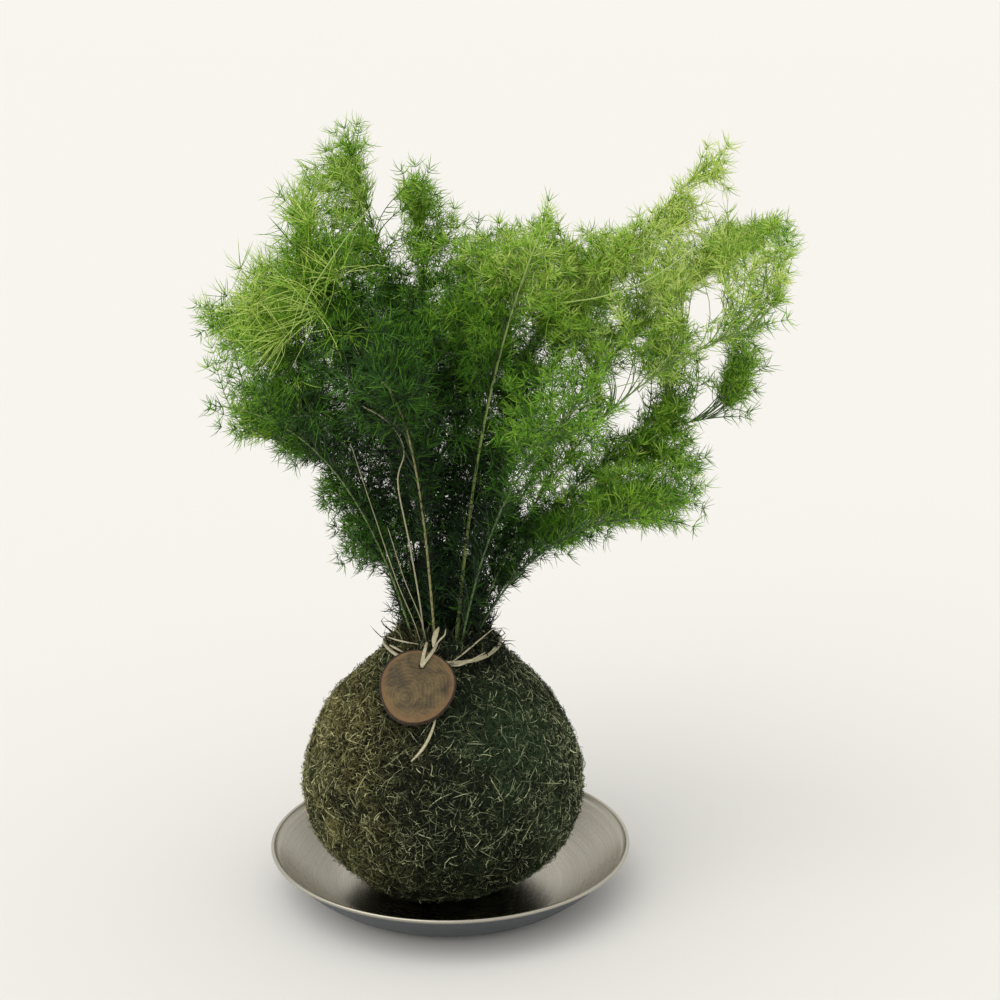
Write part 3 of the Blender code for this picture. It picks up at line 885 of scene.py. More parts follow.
@dataclass
class MossBall:
    """The moss: a mat over the soil, painted nearly black as the shade in the gaps between the fibres, with
    tens of thousands of felted fibres on it, and a ragged neck.
    """

    x: float = PLANT_X
    radius: float = 0.0682
    equator: float = 0.0600
    bottom: float = 0.0016
    rest_radius: float = 0.014
    shoulder: tuple[tuple[float, float], ...] = (
        (0.0668, 0.0700),
        (0.0626, 0.0818),
        (0.0545, 0.0965),
        (0.0434, 0.1083),
        (0.0334, 0.1183),
        (0.0268, 0.1262),
        (0.0232, 0.1322),
        (0.0180, 0.1338),
    )
    sectors: int = 8
    kinds: tuple[Fibre, ...] = (
        Fibre(
            "moss_felt", 7000, (4.0, 0.0010), (0.0, 0.1), 0.60, (2.0, 0.0005), True, 0.0003, 0.08, 0.00018,
            (0.9, 2.2, 0.98),
        ),
        Fibre(
            "moss_straws", 3000, (2.2, 0.0028), (0.0022, 0.026), 0.26, (0.0002, 0.0010), False, 0.0010, 0.16,
            0.00022, (0.8, 1.7, 1.05),
        ),
    )
    fibre_taper: tuple[float, ...] = (0.8, 1.0, 1.0, 0.8, 0.5)
    thinnest: float = 0.00009
    deepest: float = -0.0008
    tallest: float = 0.0026
    lifted: tuple[float, float] = (0.0010, 0.0032)
    bed_steps: int = 220
    bed_rings: int = 150
    lip_depth: float = 0.012
    fringe: int = 900
    fringe_ring: tuple[float, float] = (0.0135, 0.0255)
    fringe_limits: tuple[float, float] = (0.004, 0.019)
    fringe_taper: tuple[float, ...] = (1.0, 1.0, 0.9, 0.7, 0.4)
    seed: int = 11
    finish: MossFinish = field(default_factory=MossFinish)
    bed: MossBedFinish = field(default_factory=MossBedFinish)

    def __post_init__(self) -> None:
        """Works out the side's profile and how much surface lies above each of its points."""
        squash = (self.equator - self.bottom) / math.sqrt(self.radius**2 - self.rest_radius**2)
        rise = np.linspace(-math.sqrt(self.radius**2 - self.rest_radius**2), 0.0, 60)
        fuller = 1.0 + 0.035 * np.sin(math.pi * (rise / rise[0]) ** 2.0)
        lower = np.stack((np.sqrt(self.radius**2 - rise**2) * fuller, self.equator + rise * squash), axis=-1)
        stops = [(r, 0.0, z) for r, z in (tuple(lower[-6]), tuple(lower[-1]), *self.shoulder)]
        upper = smoothed(stops, 90)[:, (0, 2)]
        self.side = np.vstack((lower[:-1], upper[upper[:, 1] > self.equator]))
        length = np.linalg.norm(np.diff(self.side, axis=0), axis=1)
        self.run = np.append(0.0, np.cumsum(length))
        area = np.append(0.0, np.cumsum(length * (self.side[1:, 0] + self.side[:-1, 0]) / 2))
        self.share = area / area[-1]

    def place(self, run: np.ndarray, turn: np.ndarray, lift: np.ndarray) -> np.ndarray:
        """Points over the moss.

        Args:
            run: How far up the side, along its profile from the bottom.
            turn: The angle about the axis.
            lift: Height above the surface.

        Returns:
            The points.
        """
        radius = np.interp(run, self.run, self.side[:, 0])
        height = np.interp(run, self.run, self.side[:, 1])
        step = 0.002
        above = [np.interp(run + step, self.run, self.side[:, axis]) for axis in (0, 1)]
        below = [np.interp(run - step, self.run, self.side[:, axis]) for axis in (0, 1)]
        slope_r, slope_z = above[0] - below[0], above[1] - below[1]
        size = np.maximum(np.hypot(slope_r, slope_z), 1e-9)
        dent = 0.0007 * (np.sin(3 * turn + 40 * run) + np.sin(5 * turn - 61 * run + 1.3) * 0.7)
        dent = dent + 0.0005 * np.sin(17 * turn + 230 * run) * np.sin(13 * turn - 310 * run + 0.7)
        out = radius + (lift + dent) * slope_z / size
        up = height - (lift + dent) * slope_r / size
        up = np.maximum(up, self.bottom)
        return np.stack((self.x + out * np.cos(turn), out * np.sin(turn), up), axis=-1)

    def _bed(self) -> None:
        """Builds the mat under the fibres."""
        steps, rings = self.bed_steps, self.bed_rings
        run = np.linspace(0.0, self.run[-1], rings)
        turn = math.tau * np.arange(steps) / steps
        lump = 0.0006 * np.sin(37 * turn[:, None] + 800 * run) * np.sin(23 * turn[:, None] - 610 * run)
        skin = self.place(np.tile(run, (steps, 1)), np.tile(turn[:, None], (1, rings)), lump - 0.0006)
        inner = skin[:, -1].copy()
        inner[:, 2] -= self.lip_depth
        ends = np.array(((self.x, 0.0, self.bottom), (self.x, 0.0, inner[0, 2])))
        points = np.vstack((np.concatenate((skin, inner[:, None]), axis=1).reshape(-1, 3), ends))
        count = rings + 1
        faces: list[list[int]] = []
        for step in range(steps):
            here, after = step * count, (step + 1) % steps * count
            faces.append([steps * count, after, here])
            for index in range(count - 1):
                faces.append([here + index, after + index, after + index + 1, here + index + 1])
            faces.append([here + count - 1, after + count - 1, steps * count + 1])
        dressed(solid("moss_mat", points, faces), self.bed.material(), "moss", "moss_wrap")

    def _felt(self, rng: np.random.Generator, kind: Fibre, sector: int) -> Strands:
        """Fibres that wander over one sector of the surface.

        Args:
            rng: The random source.
            kind: Which fibres.
            sector: Which sector, counted round from +X.

        Returns:
            The strands.
        """
        count, points = kind.count, len(self.fibre_taper)
        run = np.interp(rng.uniform(0.0, 1.0, count), self.share, self.run)
        turn = math.tau * (sector + rng.uniform(0.0, 1.0, count)) / self.sectors
        length = rng.gamma(*kind.length, count).clip(*kind.limits)
        heading = rng.uniform(0.0, math.tau, count)
        curl = rng.normal(0.0, kind.curl, count)
        spread = rng.gamma if kind.springy else rng.uniform
        tall = spread(*kind.rise, count).clip(0.0, self.tallest)
        start = rng.uniform(self.deepest, kind.sunk, count)
        end = start + rng.normal(0.0, 0.0008, count)
        loose = rng.uniform(0.0, 1.0, count) < kind.loose
        end = np.where(loose, rng.uniform(*self.lifted, count), end)
        rows = []
        for index in range(points):
            share = index / (points - 1)
            lift = start * (1 - share) + end * share + tall * math.sin(math.pi * share)
            rows.append(self.place(run, turn, lift))
            if index < points - 1:
                stride = length / (points - 1)
                radius = np.maximum(np.interp(run, self.run, self.side[:, 0]), 0.012)
                run = np.clip(run + np.sin(heading) * stride, 0.001, self.run[-1] - 0.0005)
                turn = turn + np.cos(heading) * stride / radius
                heading = heading + curl
        thick = rng.uniform(self.thinnest, kind.thick, count)
        wide, narrow, top = kind.light
        tone = rng.beta(wide, narrow, count) * top
        radii = thick[:, None] * np.array(self.fibre_taper)
        return Strands(np.stack(rows, axis=1), radii, tone, rng.uniform(0.0, 1.0, count))

    def _neck_fringe(self, rng: np.random.Generator) -> Strands:
        """Dead brown bits that stand up and out round the neck."""
        count = self.fringe
        turn = rng.uniform(0.0, math.tau, count)
        ring = rng.uniform(*self.fringe_ring, count)
        height = 0.1338 - np.maximum(ring - 0.0185, 0.0) * 1.0 + rng.uniform(-0.002, 0.001, count)
        root = np.stack((self.x + ring * np.cos(turn), ring * np.sin(turn), height), axis=-1)
        out = np.stack((np.cos(turn), np.sin(turn), np.zeros(count)), axis=-1)
        lean = rng.uniform(0.10, 1.25, count) * (ring / self.fringe_ring[1]) ** 1.5
        way = unit(out * np.sin(lean)[:, None] + UP * np.cos(lean)[:, None] + rng.normal(0, 0.25, (count, 3)))
        length = rng.gamma(5.0, 0.0020, count).clip(*self.fringe_limits)
        rows = [root]
        for _ in range(4):
            rows.append(rows[-1] + way * (length / 4)[:, None])
            way = unit(way + rng.normal(0, 0.38, (count, 3)))
        thick = rng.uniform(0.00018, 0.00044, count)
        radii = thick[:, None] * np.array(self.fringe_taper)
        return Strands(np.stack(rows, axis=1), radii, rng.beta(1.3, 4.2, count), rng.uniform(0.0, 0.8, count))

    def build(self) -> None:
        """Builds the mat, the felt and the fringe."""
        self._bed()
        rng = np.random.default_rng(self.seed)
        material = self.finish.material()
        for kind in self.kinds:
            for sector in range(self.sectors):
                fibres = self._felt(rng, kind, sector)
                dressed(fibres.build(f"{kind.piece}_{sector + 1}", sector), material, "moss", "moss_wrap")
        dressed(self._neck_fringe(rng).build("moss_neck_fringe"), material, "moss", "moss_wrap")


@dataclass(frozen=True)
class FrondPlan:
    """One frond: its tip, how far its end arches over, where it stands, and how pale its stalk is."""

    tip: Place
    arch: float
    stand: float
    pale: float = 0.35
    dry: float = 0.0


@dataclass(frozen=True)
class Cloud:
    """An ellipsoid of foliage: its middle, half sizes, how light it is (painted light and shade for the
    needles and twigs in it), its twigs and its needles' length.
    """

    middle: Place
    half: Place
    light: float
    twigs: int
    needle: float = 0.0075


@dataclass(frozen=True)
class Burst:
    """A star of long curved needles at the end of a young shoot. Its light is painted light and shade for
    where it sits in the plant.
    """

    middle: Place
    way: Place
    reach: float
    light: float
    count: int = 30


@dataclass(frozen=True)
class Gap:
    """A see-through gap in the foliage, a round shaft through the point that runs along way."""

    middle: Place
    radius: float
    way: Place = (0.0, 0.905, -0.425)


@dataclass(frozen=True)
class Leader:
    """A long pale young shoot: its frond's number, the places it passes, its radius and how light it is."""

    frond: int
    stops: tuple[Place, ...]
    radius: float
    light: float


@dataclass
class Fern:
    """The fern: fronds that stand on the crown, with twigs that carry whorls of long soft needles."""

    x: float = PLANT_X
    crown_z: float = 0.1153
    ring: float = 0.0118
    neck_lean: float = math.radians(19)
    whorl_gap: float = 0.0042
    whorl_needles: int = 7
    needle_taper: tuple[float, ...] = (1.0, 0.95, 0.8, 0.5)
    burst_taper: tuple[float, ...] = (1.0, 1.0, 0.85, 0.5)
    needle_radius: float = 0.00018
    leafy_from: float = 0.07
    twigs_from: float = 0.12
    bare_twig: float = 0.15
    pale_enough: float = 0.95
    seed: int = 5
    front: Place = VIEWPOINT
    kept_clear: tuple[tuple[Place, ...], ...] = ()
    needles: NeedleFinish = field(default_factory=NeedleFinish)
    stalks: StalkFinish = field(default_factory=StalkFinish)
    shown: list[np.ndarray] = field(default_factory=list, init=False)
    plans: tuple[FrondPlan, ...] = (
        FrondPlan((-0.047, 0.006, 0.378), 0.10, 0.45),
        FrondPlan((-0.080, -0.030, 0.342), 0.30, 0.75, 0.50),
        FrondPlan((-0.120, 0.014, 0.294), 0.55, 0.95),
        FrondPlan((-0.102, -0.068, 0.262), 0.70, 1.00, 0.60),
        FrondPlan((-0.106, 0.052, 0.236), 0.80, 1.00),
        FrondPlan((-0.088, -0.018, 0.236), 0.80, 1.08, 0.10),
        FrondPlan((-0.016, 0.040, 0.358), 0.10, 0.55),
        FrondPlan((0.047, -0.038, 0.344), 0.15, 0.60, 1.00),
        FrondPlan((0.014, 0.096, 0.326), 0.35, 0.90),
        FrondPlan((0.132, 0.010, 0.370), 0.30, 0.55, 0.90),
        FrondPlan((0.160, 0.054, 0.320), 0.55, 0.80),
        FrondPlan((0.154, -0.042, 0.296), 0.60, 0.85, 0.60),
        FrondPlan((0.144, 0.012, 0.240), 0.85, 1.05),
        FrondPlan((0.112, -0.066, 0.206), 0.95, 0.96, 0.20),
        FrondPlan((0.090, 0.066, 0.184), 0.95, 0.98),
        FrondPlan((0.082, 0.082, 0.322), 0.40, 0.75),
        FrondPlan((-0.010, 0.128, 0.262), 0.70, 1.12),
        FrondPlan((-0.066, 0.104, 0.272), 0.65, 1.00),
        FrondPlan((-0.024, -0.114, 0.282), 0.55, 1.05, 0.75, 0.9),
        FrondPlan((0.066, -0.112, 0.262), 0.65, 1.10, 0.45),
    )
    # The clouds' light values are painted light and shade: dark inside and low in the plant, bright on the
    # lit upper left and upper right.
    clouds: tuple[Cloud, ...] = (
        Cloud((-0.045, 0.000, 0.366), (0.011, 0.014, 0.016), 0.66, 8),
        Cloud((-0.055, 0.000, 0.347), (0.024, 0.026, 0.022), 0.80, 22, 0.0100),
        Cloud((-0.051, -0.008, 0.322), (0.028, 0.034, 0.026), 0.66, 30, 0.0110),
        Cloud((-0.079, -0.005, 0.300), (0.027, 0.040, 0.024), 0.86, 36, 0.0140),
        Cloud((-0.100, 0.000, 0.283), (0.020, 0.030, 0.016), 0.68, 17),
        Cloud((-0.113, 0.000, 0.290), (0.008, 0.010, 0.008), 0.60, 2),
        Cloud((-0.079, 0.000, 0.262), (0.028, 0.040, 0.024), 0.62, 36),
        Cloud((-0.086, 0.000, 0.241), (0.020, 0.030, 0.014), 0.62, 16),
        Cloud((-0.072, 0.000, 0.230), (0.016, 0.020, 0.012), 0.44, 14),
        Cloud((-0.047, 0.000, 0.262), (0.036, 0.055, 0.034), 0.15, 62),
        Cloud((-0.035, -0.010, 0.292), (0.036, 0.055, 0.034), 0.24, 56),
        Cloud((-0.014, 0.010, 0.348), (0.014, 0.020, 0.014), 0.66, 12),
        Cloud((-0.002, 0.010, 0.325), (0.028, 0.040, 0.020), 0.70, 22),
        Cloud((0.030, 0.000, 0.320), (0.026, 0.040, 0.022), 0.82, 21),
        Cloud((0.046, 0.000, 0.334), (0.008, 0.014, 0.012), 0.66, 5),
        Cloud((0.004, 0.000, 0.287), (0.036, 0.055, 0.034), 0.48, 48),
        Cloud((-0.014, -0.005, 0.240), (0.042, 0.050, 0.036), 0.06, 84),
        Cloud((0.030, 0.000, 0.252), (0.034, 0.050, 0.036), 0.36, 36),
        Cloud((-0.024, 0.000, 0.198), (0.026, 0.034, 0.030), 0.10, 54),
        Cloud((0.008, 0.000, 0.200), (0.032, 0.036, 0.032), 0.03, 66),
        Cloud((-0.005, 0.000, 0.163), (0.026, 0.024, 0.020), 0.02, 72, 0.0065),
        Cloud((-0.010, 0.000, 0.146), (0.017, 0.017, 0.010), 0.02, 36, 0.0060),
        Cloud((-0.040, 0.000, 0.186), (0.018, 0.022, 0.022), 0.42, 30, 0.0065),
        Cloud((-0.054, 0.000, 0.207), (0.014, 0.020, 0.014), 0.42, 12, 0.0065),
        Cloud((0.027, 0.000, 0.164), (0.011, 0.016, 0.010), 0.18, 12, 0.0060),
        Cloud((0.058, 0.000, 0.304), (0.034, 0.050, 0.028), 0.80, 38),
        Cloud((0.078, 0.000, 0.324), (0.024, 0.034, 0.014), 0.76, 18),
        Cloud((0.066, 0.000, 0.276), (0.030, 0.050, 0.022), 0.66, 24),
        Cloud((0.100, 0.000, 0.318), (0.024, 0.036, 0.022), 0.94, 26),
        Cloud((0.112, 0.000, 0.340), (0.012, 0.016, 0.014), 0.95, 10),
        Cloud((0.125, 0.000, 0.359), (0.009, 0.012, 0.013), 1.00, 6),
        Cloud((0.134, 0.000, 0.328), (0.020, 0.028, 0.014), 0.86, 19),
        Cloud((0.152, 0.000, 0.332), (0.012, 0.020, 0.010), 0.66, 7),
        Cloud((0.140, 0.000, 0.284), (0.012, 0.024, 0.014), 0.66, 6),
        Cloud((0.141, 0.000, 0.266), (0.010, 0.020, 0.015), 0.60, 8),
        Cloud((0.103, 0.000, 0.277), (0.024, 0.034, 0.018), 0.76, 20),
        Cloud((0.108, 0.000, 0.238), (0.016, 0.034, 0.022), 0.60, 18),
        Cloud((0.088, 0.000, 0.222), (0.026, 0.045, 0.024), 0.54, 22),
        Cloud((0.104, 0.000, 0.199), (0.022, 0.028, 0.016), 0.52, 15),
        Cloud((0.116, 0.000, 0.216), (0.014, 0.026, 0.016), 0.54, 11),
        Cloud((0.056, 0.000, 0.222), (0.028, 0.045, 0.026), 0.54, 24),
        Cloud((0.057, 0.000, 0.191), (0.024, 0.032, 0.014), 0.44, 26),
        Cloud((0.034, 0.000, 0.184), (0.014, 0.026, 0.014), 0.20, 14, 0.0060),
        Cloud((0.030, 0.085, 0.300), (0.050, 0.035, 0.030), 0.45, 18),
        Cloud((-0.005, 0.098, 0.250), (0.055, 0.032, 0.034), 0.30, 34),
        Cloud((0.016, 0.040, 0.238), (0.038, 0.030, 0.038), 0.08, 44),
        Cloud((-0.040, 0.040, 0.235), (0.026, 0.030, 0.028), 0.10, 26),
        Cloud((-0.058, 0.084, 0.268), (0.032, 0.030, 0.030), 0.50, 16),
        Cloud((0.076, 0.076, 0.286), (0.036, 0.030, 0.030), 0.55, 16),
        Cloud((-0.030, -0.080, 0.268), (0.034, 0.030, 0.030), 0.20, 18, 0.0100),
        Cloud((0.052, -0.082, 0.266), (0.038, 0.030, 0.030), 0.52, 14),
    )
    # The bursts' light values are painted light and shade: dark low in the middle, bright on the lit upper
    # left and right.
    bursts: tuple[Burst, ...] = (
        Burst((-0.048, -0.040, 0.316), (-0.35, -0.60, 0.55), 0.028, 0.90),
        Burst((-0.056, -0.046, 0.300), (-0.50, -0.70, 0.10), 0.031, 0.92),
        Burst((-0.072, -0.044, 0.288), (-0.60, -0.60, -0.20), 0.028, 0.86),
        Burst((-0.086, -0.034, 0.299), (-0.70, -0.50, 0.20), 0.023, 0.94),
        Burst((-0.060, -0.028, 0.338), (-0.30, -0.50, 0.70), 0.020, 0.90),
        Burst((-0.066, -0.040, 0.268), (-0.40, -0.70, -0.50), 0.022, 0.70),
        Burst((-0.030, -0.060, 0.292), (0.10, -0.90, 0.20), 0.021, 0.46),
        Burst((0.006, -0.060, 0.246), (0.10, -0.95, 0.10), 0.018, 0.26),
        Burst((0.100, -0.020, 0.332), (0.50, -0.50, 0.60), 0.016, 0.98),
        Burst((0.048, -0.050, 0.300), (0.20, -0.80, 0.40), 0.019, 0.62),
        Burst((-0.062, -0.042, 0.310), (-0.20, -0.80, 0.30), 0.030, 0.84),
        Burst((-0.046, -0.046, 0.290), (-0.10, -0.90, -0.10), 0.028, 0.72),
    )
    leaders: tuple[Leader, ...] = (
        Leader(
            2,
            (
                (-0.0637, -0.0520, 0.2982),
                (-0.0578, -0.0540, 0.3110),
                (-0.0488, -0.0520, 0.3248),
                (-0.0403, -0.0460, 0.3364),
                (-0.0319, -0.0360, 0.3464),
            ),
            0.00034,
            0.95,
        ),
        Leader(
            10,
            (
                (0.0524, -0.0300, 0.3016),
                (0.0703, -0.0340, 0.3049),
                (0.0882, -0.0360, 0.3111),
                (0.1043, -0.0340, 0.3208),
                (0.1180, -0.0300, 0.3311),
                (0.1329, -0.0220, 0.3451),
            ),
            0.00036,
            1.0,
        ),
        Leader(
            20,
            (
                (0.0522, -0.0500, 0.2515),
                (0.0742, -0.0550, 0.2663),
                (0.0924, -0.0500, 0.2722),
                (0.1108, -0.0400, 0.2909),
            ),
            0.00026,
            0.70,
        ),
    )
    gaps: tuple[Gap, ...] = (
        Gap((0.0824, 0.0, 0.2529), 0.0095),
        Gap((0.0660, 0.0, 0.2590), 0.0045),
        Gap((0.1196, 0.0, 0.2890), 0.0080),
        Gap((0.0530, 0.0, 0.2480), 0.0030),
        Gap((-0.0290, 0.0, 0.3480), 0.0060),
        Gap((-0.0255, 0.0, 0.3340), 0.0040),
        Gap((0.1260, 0.0, 0.2480), 0.0075),
        Gap((0.0920, 0.0, 0.2850), 0.0035),
        Gap((-0.0780, 0.0, 0.3280), 0.0050),
    )

    def centre_line(self, plan: FrondPlan, share: np.ndarray) -> np.ndarray:
        """Points on a frond's centre line at the shares, from 0 at the crown to 1 at the tip."""
        tip = Vector(plan.tip)
        outward = Vector((tip.x - self.x, tip.y, 0.0))
        lean = math.atan2(outward.length, tip.z - self.crown_z)
        outward.normalize()
        base = Vector((self.x, 0.0, self.crown_z)) + outward * self.ring * plan.stand
        length = (tip - base).length
        rise = (UP_VECTOR + outward * math.tan(min(lean * 0.4, self.neck_lean))).normalized()
        level = math.radians(90) * plan.arch
        straight = (tip - base).normalized()
        over = outward - UP_VECTOR * (0.25 * plan.arch)
        end_way = (straight * math.cos(level) + over * math.sin(level)).normalized()
        corners = (base, base + rise * length * 0.42, tip - end_way * length * 0.34, tip)
        rest = 1.0 - share
        weights = (rest**3, 3 * rest**2 * share, 3 * rest * share**2, share**3)
        return sum(weight[:, None] * np.array(corner) for weight, corner in zip(weights, corners))

    def nature(self, points: np.ndarray) -> tuple[np.ndarray, np.ndarray]:
        """The painted light and shade of the needles at the points and how long they are there, both from the
        clouds round them.
        """
        total = np.zeros((2, len(points)))
        weight = np.full(len(points), 1e-9)
        for cloud in self.clouds:
            away = np.linalg.norm((points - np.array(cloud.middle)) / (np.array(cloud.half) * 1.1), axis=1)
            pull = np.exp(-2.0 * away**2)
            total += pull * np.array((cloud.light, cloud.needle))[:, None]
            weight += pull
        light, reach = total / weight
        return light, np.maximum(reach, 0.005)

    def clear(self, points: np.ndarray) -> np.ndarray:
        """A mask that is False for the points inside a gap."""
        mask = np.ones(len(points), dtype=bool)
        for gap in self.gaps:
            way = unit(np.array(gap.way))
            offset = points - np.array(gap.middle)
            across = offset - (offset @ way)[:, None] * way
            mask &= np.linalg.norm(across, axis=1) > gap.radius
        return mask

    def seen(self, points: np.ndarray, line: np.ndarray, width: float = 0.0013) -> np.ndarray:
        """A mask that is False for the points that would hide a line from the front.

        Args:
            points: The points.
            line: The line's points, close together.
            width: Half the width of the lane that is kept free.

        Returns:
            The mask.
        """
        away, reach = points - self.front, line - self.front
        flat = away[:, (0, 2)] / away[:, 1:2]
        way = reach[:, (0, 2)] / reach[:, 1:2]
        mask = np.ones(len(points), dtype=bool)
        for place, spot in zip(line, way):
            lane = width / (place[1] - self.front[1])
            near = (np.abs(flat[:, 0] - spot[0]) < lane) & (np.abs(flat[:, 1] - spot[1]) < lane * 1.6)
            mask &= ~(near & (points[:, 1] < place[1]))
        return mask

    def _targets(self, rng: np.random.Generator) -> np.ndarray:
        """Evenly spread places inside the clouds, one for the end of each twig."""
        chosen: list[np.ndarray] = []
        for cloud in self.clouds:
            half = np.maximum(np.array(cloud.half) - 0.006, 0.003)
            for _ in range(cloud.twigs):
                spots = unit(rng.normal(size=(9, 3))) * rng.uniform(0.0, 1.0, (9, 1)) ** 0.33
                places = np.array(cloud.middle) + spots * half
                if chosen:
                    near = np.linalg.norm(places[:, None] - np.array(chosen)[None], axis=2).min(axis=1)
                    places = places[int(np.argmax(near))][None]
                chosen.append(places[0])
        return np.array(chosen)

    def _twigs(self, rng: np.random.Generator, axes: list[np.ndarray]) -> list[list[np.ndarray]]:
        """Twigs that reach from the fronds' axes to places in the clouds.

        Args:
            rng: The random source.
            axes: The leafy part of each frond's centre line.

        Returns:
            For each frond, the centre lines of its twigs.
        """
        owner = np.concatenate([np.full(len(axis) - 1, index) for index, axis in enumerate(axes)])
        roots = np.vstack([axis[:-1] for axis in axes])
        ways = np.vstack([unit(np.diff(axis, axis=0)) for axis in axes])
        grown: list[list[np.ndarray]] = [[] for _ in axes]
        load = np.zeros(len(axes))
        share = np.linspace(0.0, 1.0, 8)[:, None]
        for target in self._targets(rng):
            reach = target - roots
            far = np.linalg.norm(reach, axis=1)
            along = np.einsum("ij,ij->i", reach, ways) / np.maximum(far, 1e-6)
            cost = far + 0.030 * (1.0 - along) + 1.2 * np.maximum(-reach[:, 2], 0.0) + 0.0006 * load[owner]
            best = int(np.argmin(cost + rng.uniform(0.0, 0.008, len(cost))))
            load[owner[best]] += 1
            length = far[best]
            bow = roots[best] + (ways[best] * 0.40 + UP * 0.08) * length + rng.normal(0, 0.07, 3) * length
            line = (1 - share) ** 2 * roots[best] + 2 * share * (1 - share) * bow + share**2 * target
            grown[owner[best]].append(line)
        return grown

    def _shoots(self, twigs: list[np.ndarray], rng: np.random.Generator) -> np.ndarray:
        """Side shoots on the outer parts of the twigs.

        Args:
            twigs: The twigs' centre lines.
            rng: The random source.

        Returns:
            The shoots' centre lines (shoot, point, xyz).
        """
        lines = []
        for twig in twigs:
            length = float(np.linalg.norm(np.diff(twig, axis=0), axis=1).sum())
            count = max(2, min(7, int(length / 0.0075)))
            side = unit(rng.normal(size=3))
            for index in range(count):
                where = 0.25 + 0.72 * (index + rng.uniform(0.2, 0.8)) / count
                step = where * (len(twig) - 1)
                low = min(int(step), len(twig) - 2)
                root = twig[low] + (twig[low + 1] - twig[low]) * (step - low)
                way = unit(twig[low + 1] - twig[low])
                side = -unit(np.cross(np.cross(way, side + rng.normal(0, 0.35, 3)), way))
                heading = unit(way * 0.65 + side * 0.9 + UP * 0.12)
                reach = rng.uniform(0.007, 0.015) * (1.15 - 0.45 * where)
                rows = [root]
                for _ in range(3):
                    rows.append(rows[-1] + heading * reach / 3)
                    heading = unit(heading + way * 0.20 + rng.normal(0, 0.10, 3))
                lines.append(np.array(rows))
        return np.array(lines)

    def _whorls(
        self, line: np.ndarray, rng: np.random.Generator, start: float
    ) -> tuple[np.ndarray, np.ndarray]:
        """Places and directions of the whorls on one line.

        Args:
            line: The line's points.
            rng: The random source.
            start: The share of the line that stays bare.

        Returns:
            The places and the directions.
        """
        steps = np.linalg.norm(np.diff(line, axis=0), axis=1)
        run = np.append(0.0, np.cumsum(steps))
        count = max(2, int(run[-1] * (1 - start) / self.whorl_gap))
        where = run[-1] * (start + (1 - start) * (np.arange(count) + rng.uniform(0.3, 1.0, count)) / count)
        where = np.append(where, run[-1])
        points = np.stack([np.interp(where, run, line[:, axis]) for axis in range(3)], axis=-1)
        ahead = np.stack([np.interp(where + 0.002, run, line[:, axis]) for axis in range(3)], axis=-1)
        behind = np.stack([np.interp(where - 0.002, run, line[:, axis]) for axis in range(3)], axis=-1)
        return points, unit(ahead - behind)

    def _needles(self, roots: np.ndarray, ways: np.ndarray, rng: np.random.Generator) -> Strands:
        """The needles of many whorls.

        Args:
            roots: The whorls' places.
            ways: Their directions.
            rng: The random source.

        Returns:
            The needles as strands.
        """
        whorls, each = len(roots), self.whorl_needles
        light, reach = self.nature(roots)
        side = unit(np.cross(ways, rng.normal(size=ways.shape)))
        other = np.cross(ways, side)
        turn = math.tau * np.arange(each) / each + rng.uniform(0, math.tau, (whorls, 1))
        turn = turn + rng.normal(0, 0.35, (whorls, each))
        lean = rng.uniform(math.radians(30), math.radians(85), (whorls, each))
        out = side[:, None] * np.cos(turn)[..., None] + other[:, None] * np.sin(turn)[..., None]
        way = ways[:, None] * np.cos(lean)[..., None] + out * np.sin(lean)[..., None]
        reach = reach[:, None] * rng.uniform(0.55, 1.25, (whorls, each))
        bend = ways[:, None] * 0.14 + rng.normal(0, 0.16, (whorls, each, 3)) + UP * 0.02
        point = np.repeat(roots[:, None], each, axis=1)
        rows = [point]
        for _ in range(3):
            point = point + way * (reach / 3)[..., None]
            rows.append(point)
            way = unit(way + bend)
        lines = np.stack(rows, axis=2).reshape(-1, 4, 3)
        count = len(lines)
        keep = self.clear(lines[:, 1]) & self.clear(lines[:, 3])
        for line in self.shown:
            keep &= self.seen(lines[:, 1], line) & self.seen(lines[:, 2], line) & self.seen(lines[:, 3], line)
        # Painted light and shade: each whorl's tone comes from the clouds round it, with random spread.
        tone = np.repeat(light + rng.normal(0, 0.10, whorls), each) + rng.normal(0, 0.09, count)
        radii = self.needle_radius * rng.uniform(0.75, 1.15, (count, 1)) * np.array(self.needle_taper)
        return Strands(lines, radii, tone, rng.uniform(0, 1, count)).chosen(keep)

    def _burst(self, burst: Burst, rng: np.random.Generator) -> Strands:
        """The long needles of one burst."""
        count = burst.count
        way = unit(unit(np.array(burst.way)) + rng.normal(0, 0.85, (count, 3)))
        droop = rng.normal(0, 0.15, (count, 3)) - UP * 0.10
        reach = burst.reach * rng.uniform(0.55, 1.2, count)
        rows = [np.array(burst.middle) + rng.normal(0, 0.0016, (count, 3))]
        for _ in range(3):
            rows.append(rows[-1] + way * (reach / 3)[:, None])
            way = unit(way + droop)
        radii = self.needle_radius * 0.80 * np.ones((count, 1)) * np.array(self.burst_taper)
        tone = burst.light + rng.normal(0, 0.08, count)
        return Strands(np.stack(rows, axis=1), radii, tone, rng.uniform(0, 1, count))

    def _leader(self, leader: Leader, material: bpy.types.Material) -> None:
        """Builds one long young shoot."""
        line = smoothed(leader.stops, 40)[None]
        thick = np.linspace(1.0, 0.5, 40)[None] * leader.radius
        shoot = Strands(line, thick, np.array([leader.light]), np.array([0.3]), 7)
        name = f"frond_{leader.frond:02d}_leader"
        dressed(shoot.build(name), material, "leaf", f"spray_{leader.frond:02d}")

